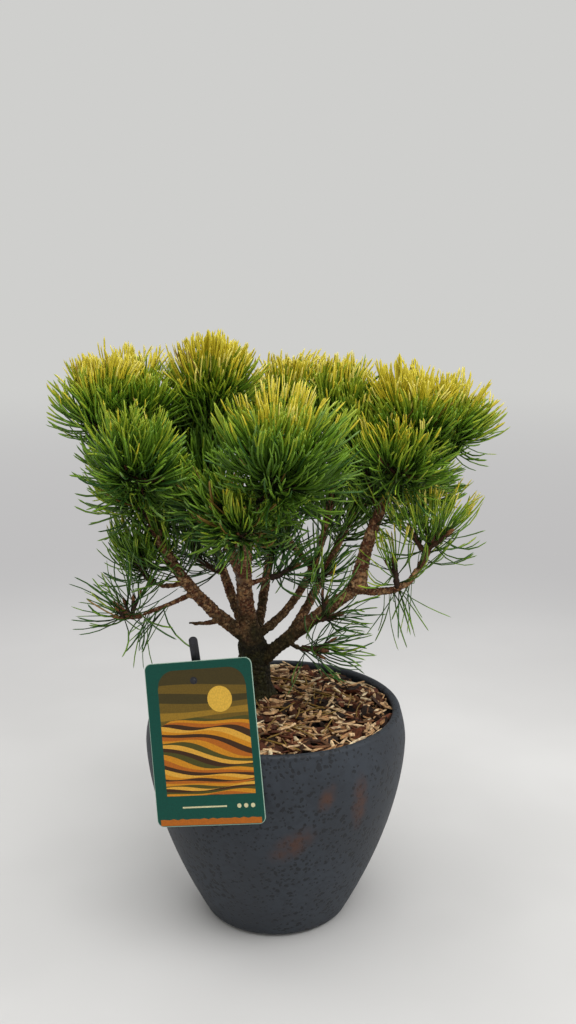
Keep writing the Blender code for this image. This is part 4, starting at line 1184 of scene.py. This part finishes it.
class Foliage:
    """Needles of one mass, grown shoot by shoot as arrays and then trimmed and coloured."""

    def __init__(self, mass, number):
        self.mass = mass
        self.looks = LOOKS[mass.name]
        self.rng = np.random.default_rng(1000 + number)
        self.batches = []

    def hold(self, needles):
        """Take up arrays of the needles' roots, headings at root and tip, lengths and tones."""
        self.roots, self.starts, self.ends, self.lengths, self.tones = needles

    def grow(self, path, radius, bare, share_of_fill=1.0):
        """Pairs of needles in a spiral on one shoot, which leave outward and curve in and up."""
        mass, looks, rng = self.mass, self.looks, self.rng
        total = lengths_along(path)[-1]
        count = max(5, int((total - bare) * looks.fill * share_of_fill / NEEDLE_SPACING))
        shares = (bare + (total - bare) * (np.arange(count) + rng.uniform(0, 0.9, count)) / count) / total
        centres = point_along(path, shares)
        ahead = point_along(path, np.minimum(shares + 0.05, 1.0))
        axes = unit(ahead - point_along(path, np.maximum(shares - 0.05, 0.0)))
        first, _ = side_axes(unit(path[-1] - path[0]))
        first = unit(first - axes * (axes @ first)[:, None])
        turns = rng.uniform(0, 6.28) + GOLDEN_TURN * np.arange(count) + rng.normal(0, 0.2, count)
        outward = spread(first, np.cross(axes, first), turns)
        around = np.cross(axes, outward)
        along = (shares * total - bare) / (total - bare)
        splay = TIP_SPLAY + (mass.splay - TIP_SPLAY) * (1.0 - along) ** 1.15 + rng.normal(0, 5.0, count)
        splay = np.radians(splay)
        tone = rng.uniform(-0.5, 0.5)
        length = mass.length * looks.stretch * rng.uniform(0.88, 1.14)
        length = length * rng.triangular(0.74, 1.0, 1.12, count) * (1.04 - 0.16 * along**2)
        bend = NEEDLE_BEND * rng.uniform(0.6, 1.3, count)
        for side in (-1.0, 1.0):
            twist = side * NEEDLE_PAIR + rng.normal(0, 0.04, count)
            lean = splay + rng.normal(0, 0.035, count)
            out = unit(outward + around * twist[:, None])
            start = spread(axes, out, lean + 0.35 * bend)
            end = spread(axes, out, lean - 0.65 * bend)
            self.batches.append((
                centres + outward * radius * 0.7,
                unit(start + ROOT_RISE * looks.rise * UP),
                unit(end + looks.rise * UP + rng.normal(0, 0.045, (count, 3))),
                length * rng.uniform(0.95, 1.03, count),
                np.full(count, tone),
            ))

    def hang(self, path, sprig):
        """Single needles along a limb, near one heading."""
        rng, count = self.rng, sprig.count
        roots = point_along(path, rng.uniform(sprig.first, sprig.last, count))
        starts = unit(unit(vector(sprig.heading)) + rng.normal(0, 0.42, (count, 3)))
        ends = unit(starts + rng.normal(0, 0.3, (count, 3)) - 0.15 * UP)
        self.batches.append((roots, starts, ends, rng.uniform(40.0, 52.0, count), np.zeros(count)))

    def gather(self):
        self.hold(np.concatenate(kind) for kind in zip(*self.batches))

    def points_at(self, share):
        """Points along every needle, which leaves by its start heading and ends by its end heading."""
        turned = share * (1.0 - 0.5 * share)
        return self.roots + self.lengths[:, None] * (turned * self.starts + 0.5 * share**2 * self.ends)

    def part_in_wisps(self):
        """Lean neighbouring needles together, so that the mass parts into uneven wisps."""
        places = self.points_at(0.8) / WISP_SPAN
        drift = np.array([[noise.noise(Vector(p + field)) for field in WISP_FIELDS] for p in places])
        self.ends = unit(self.ends + WISP_LEAN * drift)
        self.lengths *= 1.0 + WISP_LENGTH * drift[:, 0]
        self.tones += WISP_TONE * drift[:, 1]

    def trim(self, segments, radii):
        """Shorten needles that would leave the solids' box or meet a limb, the pot or the card."""
        low, high = (np.array(corner) / MM for corner in CAD_BOX)
        card = label_centre()
        card_axes = np.array(label_axes()).T
        allowed = np.ones(len(self.lengths))
        blocked = np.zeros(len(self.lengths), bool)
        for share in TRIM_SHARES:
            p = self.points_at(share)
            parts = [p[start:start + CHUNK] for start in range(0, len(p), CHUNK)]
            gap = np.concatenate([(distance_to_segments(part, segments) - radii).min(1) for part in parts])
            bad = gap < NEEDLE_CLEARANCE
            bad |= ((p < low + BOX_MARGIN) | (p > high - BOX_MARGIN)).any(1)
            across = np.hypot(p[:, 0], p[:, 1])
            bad |= (p[:, 2] < POT_HEIGHT + POT_BERTH) & (across < POT_BELLY_RADIUS + POT_BERTH)
            bad |= (np.abs((p - card) @ card_axes) < CARD_BERTH).all(1)
            newly = bad & ~blocked
            allowed[newly] = share - TRIM_STEP
            blocked |= bad
        self.lengths *= allowed
        keep = self.lengths > SHORTEST_NEEDLE
        self.hold(kind[keep] for kind in (self.roots, self.starts, self.ends, self.lengths, self.tones))

    def sprays(self):
        """Which run of colours each needle takes, from where it stands in its tuft, with brighter runs
        painted on lit needles and the painted-shade runs on the rest.
        """
        looks, rng = self.looks, self.rng
        tips = self.points_at(1.0)
        low, high = np.percentile(tips[:, 2], (15, 96))
        height = clamp((tips[:, 2] - low) / (high - low))
        upright = clamp((self.ends[:, 2] - 0.15) / 0.6)
        sun = height**1.8 * (0.35 + 0.65 * upright)
        # Higher needles score brighter greens, painted light from above; the gold term gives the upper,
        # upright needles their golden tips.
        score = 0.7 + 2.3 * looks.fresh * (0.35 + 0.65 * height) + self.tones
        score += looks.gold * sun * 4.4 + rng.normal(0, 0.8, len(sun))
        run = clamp(np.round(score), 0, BRIGHTEST_RUN).astype(int)
        # Painted light: needles that are not lit take the shade runs, the painted-shade copies; gold and
        # freshness raise the lit share with height, and sparse masses have less.
        lit = 0.25 + 0.5 * looks.gold + 1.3 * looks.fresh * (0.4 + 0.6 * height)
        lit *= 0.4 + 0.6 * looks.fill
        shaded = rng.uniform(0, 1, len(sun)) > lit
        run[shaded] += BRIGHTEST_RUN + 1
        run[rng.uniform(0, 1, len(sun)) < DRY_SHARES.get(self.mass.name, DRY_SHARE)] = DRY
        return run

    def add_to(self, soup, run=None):
        """Add every needle as a three-sided blade, in one run of colours or in its spray's."""
        rng = self.rng
        count = len(self.lengths)
        roll = unit(rng.normal(0, 1, (count, 3)))
        slim = SLIMMEST + (1.0 - SLIMMEST) * self.looks.fill
        size = NEEDLE_WIDTH * slim * rng.uniform(0.85, 1.15, count) / 2
        rings = []
        for share, width in NEEDLE_RINGS:
            middle = self.points_at(share)
            tangent = unit((1.0 - share) * self.starts + share * self.ends)
            side = unit(np.cross(tangent, roll))
            normal = np.cross(side, tangent)
            reach = (size * width)[:, None]
            for x, y in NEEDLE_CORNERS:
                rings.append(middle + reach * x * side + reach * y * normal)
        rings.append(self.points_at(1.0))
        pattern, bands = needle_pattern()
        faces = (np.arange(count)[:, None, None] * len(rings) + pattern[None]).reshape(-1, 3)
        run = self.sprays() if run is None else np.full(count, run)
        soup.add(np.stack(rings, axis=1), faces, RUN_SLOTS[run][:, bands].ravel())


def needle_pattern():
    """Triangles of one needle, and the band from root to tip that each belongs to."""
    faces = [(0, 2, 1)]
    bands = [0]
    last = len(NEEDLE_RINGS) - 1
    for ring in range(last):
        for side in range(3):
            a = 3 * ring + side
            b = 3 * ring + (side + 1) % 3
            faces += [(a, b, b + 3), (a, b + 3, a + 3)]
            bands += [ring, ring]
    for side in range(3):
        faces.append((3 * last + side, 3 * last + (side + 1) % 3, 3 * last + 3))
        bands.append(last - 1)
    return np.array(faces), np.array(bands)


def grow_mass(foliage, shoots, limbs, wood, buds):
    """One mass's needles, trimmed and ready, with the twigs and buds of its shoots."""
    name = foliage.mass.name
    chance = random.Random(name + " twigs")
    segments, radii = barrier_of(limbs)

    def sprout(path, radius, bare):
        foliage.grow(path, radius, bare)
        add_twig(wood, path, radius, chance)
        add_bud(buds, path, radius, chance)

    for index, path in enumerate(shoots):
        if index == 0:
            sprout(path, STEM_RADIUS, STEM_BARE_SHARE * lengths_along(path)[-1])
        else:
            sprout(path, SHOOT_RADIUS, SHOOT_BARE_LENGTH)
        twig = branchlet_of(path, chance)
        if is_clear(twig, segments, radii):
            sprout(twig, BRANCHLET_RADIUS, BRANCHLET_BARE_LENGTH)
    for sprig in SPRIGS:
        if sprig.mass == name:
            foliage.hang(limbs[sprig.limb].path, sprig)
    for sleeve in SLEEVES:
        if sleeve.mass == name:
            limb = limbs[sleeve.limb]
            stretch = point_along(limb.path, np.linspace(sleeve.first, sleeve.last, 9))
            foliage.grow(stretch, limb.radii.min(), 0.0, sleeve.fill)
    foliage.gather()
    foliage.part_in_wisps()
    foliage.trim(segments, radii)


def make_foliage(limbs):
    """Needles, twigs and buds of every mass."""
    shoots = plan_shoots(limbs)
    wood = Soup()
    buds = Soup()
    pieces = {name: Soup() for name in NEEDLE_PIECES}
    members = {name: [] for name in NEEDLE_PIECES}
    for number, mass in enumerate(MASSES):
        foliage = Foliage(mass, number)
        grow_mass(foliage, shoots[mass.name], limbs, wood, buds)
        piece = next(name for name, words in NEEDLE_PIECES.items() if mass.name.startswith(words))
        foliage.add_to(pieces[piece])
        members[piece].append(mass.name)
    materials = palette(plain, "needle", NEEDLE_COLOURS, 0.42, 0.35)
    for name, soup in pieces.items():
        settle(soup.make(name, materials), "needles", *members[name])
    bark = palette(grained, "twig", dict(enumerate(TWIG_COLOURS, 1)), 0.8, 500.0)
    for name, soup in (("twigs", wood), ("buds", buds)):
        settle(soup.make(name, bark), "bark", *[mass.name for mass in MASSES])


def add_twig(soup, path, radius, chance):
    """A tapered twig with the knobs that its needles stand on."""
    sides = 7
    points, shares = at_even_steps(path, 1.6)
    rng = np.random.default_rng(chance.randrange(10**6))
    radii = radius * (1.0 - SHOOT_TAPER * shares)
    radii *= 1.0 + 0.16 * np.resize((0.0, 1.0, 0.3), len(points))
    rings = rings_round(points, radii, sides, lambda ring, turns: rng.uniform(0.88, 1.12, len(turns)))
    faces = tube_faces(len(points), sides)
    soup.add(rings, faces, rng.choice(3, p=(0.45, 0.4, 0.15)))


def add_bud(soup, path, radius, chance):
    """The bud that closes a shoot."""
    sides = 8
    heading = unit(path[-1] - path[-2])
    length = chance.uniform(5.0, 8.5)
    width = radius * chance.uniform(0.62, 0.8)
    shares = np.array([0.0, 0.2, 0.45, 0.7, 0.9, 1.0])
    radii = width * np.array([0.85, 1.1, 1.05, 0.75, 0.35, 0.05])
    rings = rings_round(path[-1] + shares[:, None] * length * heading, radii, sides)
    soup.add(rings, tube_faces(len(shares), sides), chance.choice((2, 3)))


def make_fallen_needles():
    """A few dry needles on the mulch."""
    rng = np.random.default_rng(29)
    litter = Foliage(MASSES[0], 99)
    reach = (POT_RIM_RADIUS - POT_WALL - 26.0) * np.sqrt(rng.uniform(0.05, 1, FALLEN_NEEDLES))
    turn = rng.uniform(0, 2 * math.pi, FALLEN_NEEDLES)
    x, y = reach * np.cos(turn), reach * np.sin(turn)
    yaw = rng.uniform(0, 2 * math.pi, FALLEN_NEEDLES)
    bend = rng.normal(0, 0.3, FALLEN_NEEDLES)
    litter.hold((
        np.stack([x, y, soil_height(x, y) + rng.uniform(2.2, 4.2, FALLEN_NEEDLES)], axis=1),
        np.stack([np.cos(yaw), np.sin(yaw), 0.05 + 0 * yaw], axis=1),
        np.stack([np.cos(yaw + bend), np.sin(yaw + bend), -0.1 + 0 * yaw], axis=1),
        rng.uniform(22, 40, FALLEN_NEEDLES),
        0 * yaw,
    ))
    soup = Soup()
    litter.add_to(soup, DRY)
    materials = palette(plain, "litter", NEEDLE_COLOURS, 0.7, 0.3)
    settle(soup.make("fallen_needles", materials), "bark_mulch", "soil")


def floor_material():
    """A pale floor that turns into an even glow towards the horizon."""
    m = Nodes("floor_pale", 0.75, 0.3)
    m.colour(m.mix(m.ramp(m.noise(3.0, 3.0), 0.35, 0.65), (197, 196, 195), (204, 203, 202)))
    distance = m.vector_maths("LENGTH", {0: m.place}, "Value")
    glow = m.node("Emission", {"Color": m.mix(m.ramp(distance, 1.3, 5.0), HORIZON_COLOUR, WALL_COLOUR)})
    share = m.ramp(distance, 0.3, 1.3)
    blend = m.node("MixShader", {0: share, 1: m.shader.outputs[0], 2: glow.outputs[0]})
    m.feed(m.tree.nodes["Material Output"].inputs["Surface"], blend.outputs[0])
    return m.material


def make_floor():
    place = (0.0, 0.0, -0.5 * MM)
    bpy.ops.mesh.primitive_circle_add(vertices=96, radius=FLOOR_RADIUS, fill_type="NGON", location=place)
    floor = bpy.context.object
    floor.name = "floor"
    floor.data.materials.append(floor_material())


def make_lights():
    """An even pale world and three soft lamps that look at the plant."""
    world = bpy.data.worlds.new("studio")
    world.use_nodes = True
    background = world.node_tree.nodes["Background"]
    background.inputs["Color"].default_value = (*linear(WALL_COLOUR), 1.0)
    bpy.context.scene.world = world
    for name, place, size, power in LAMPS:
        light = bpy.data.lights.new(name, "AREA")
        light.size = size
        light.energy = power
        lamp = add_object(name, light)
        lamp.location = place
        aim = Vector(LAMP_TARGET) - lamp.location
        lamp.rotation_euler = aim.to_track_quat("-Z", "Y").to_euler()


def set_camera():
    """The photograph's view."""
    camera_data = bpy.data.cameras.new("camera")
    camera_data.sensor_width = 36.0
    camera_data.lens = LENS
    camera = add_object("camera", camera_data)
    camera.location = CAMERA_PLACE
    camera.rotation_euler = (math.pi / 2 - CAMERA_PITCH, 0.0, 0.0)
    bpy.context.scene.camera = camera
    bpy.context.scene.view_settings.view_transform = "Standard"


def main():
    make_floor()
    make_lights()
    set_camera()
    make_pot()
    make_soil()
    make_mulch()
    make_fallen_needles()
    make_label()
    make_stake()
    limbs = limb_tubes()
    make_limbs(limbs)
    make_foliage(limbs)


main()
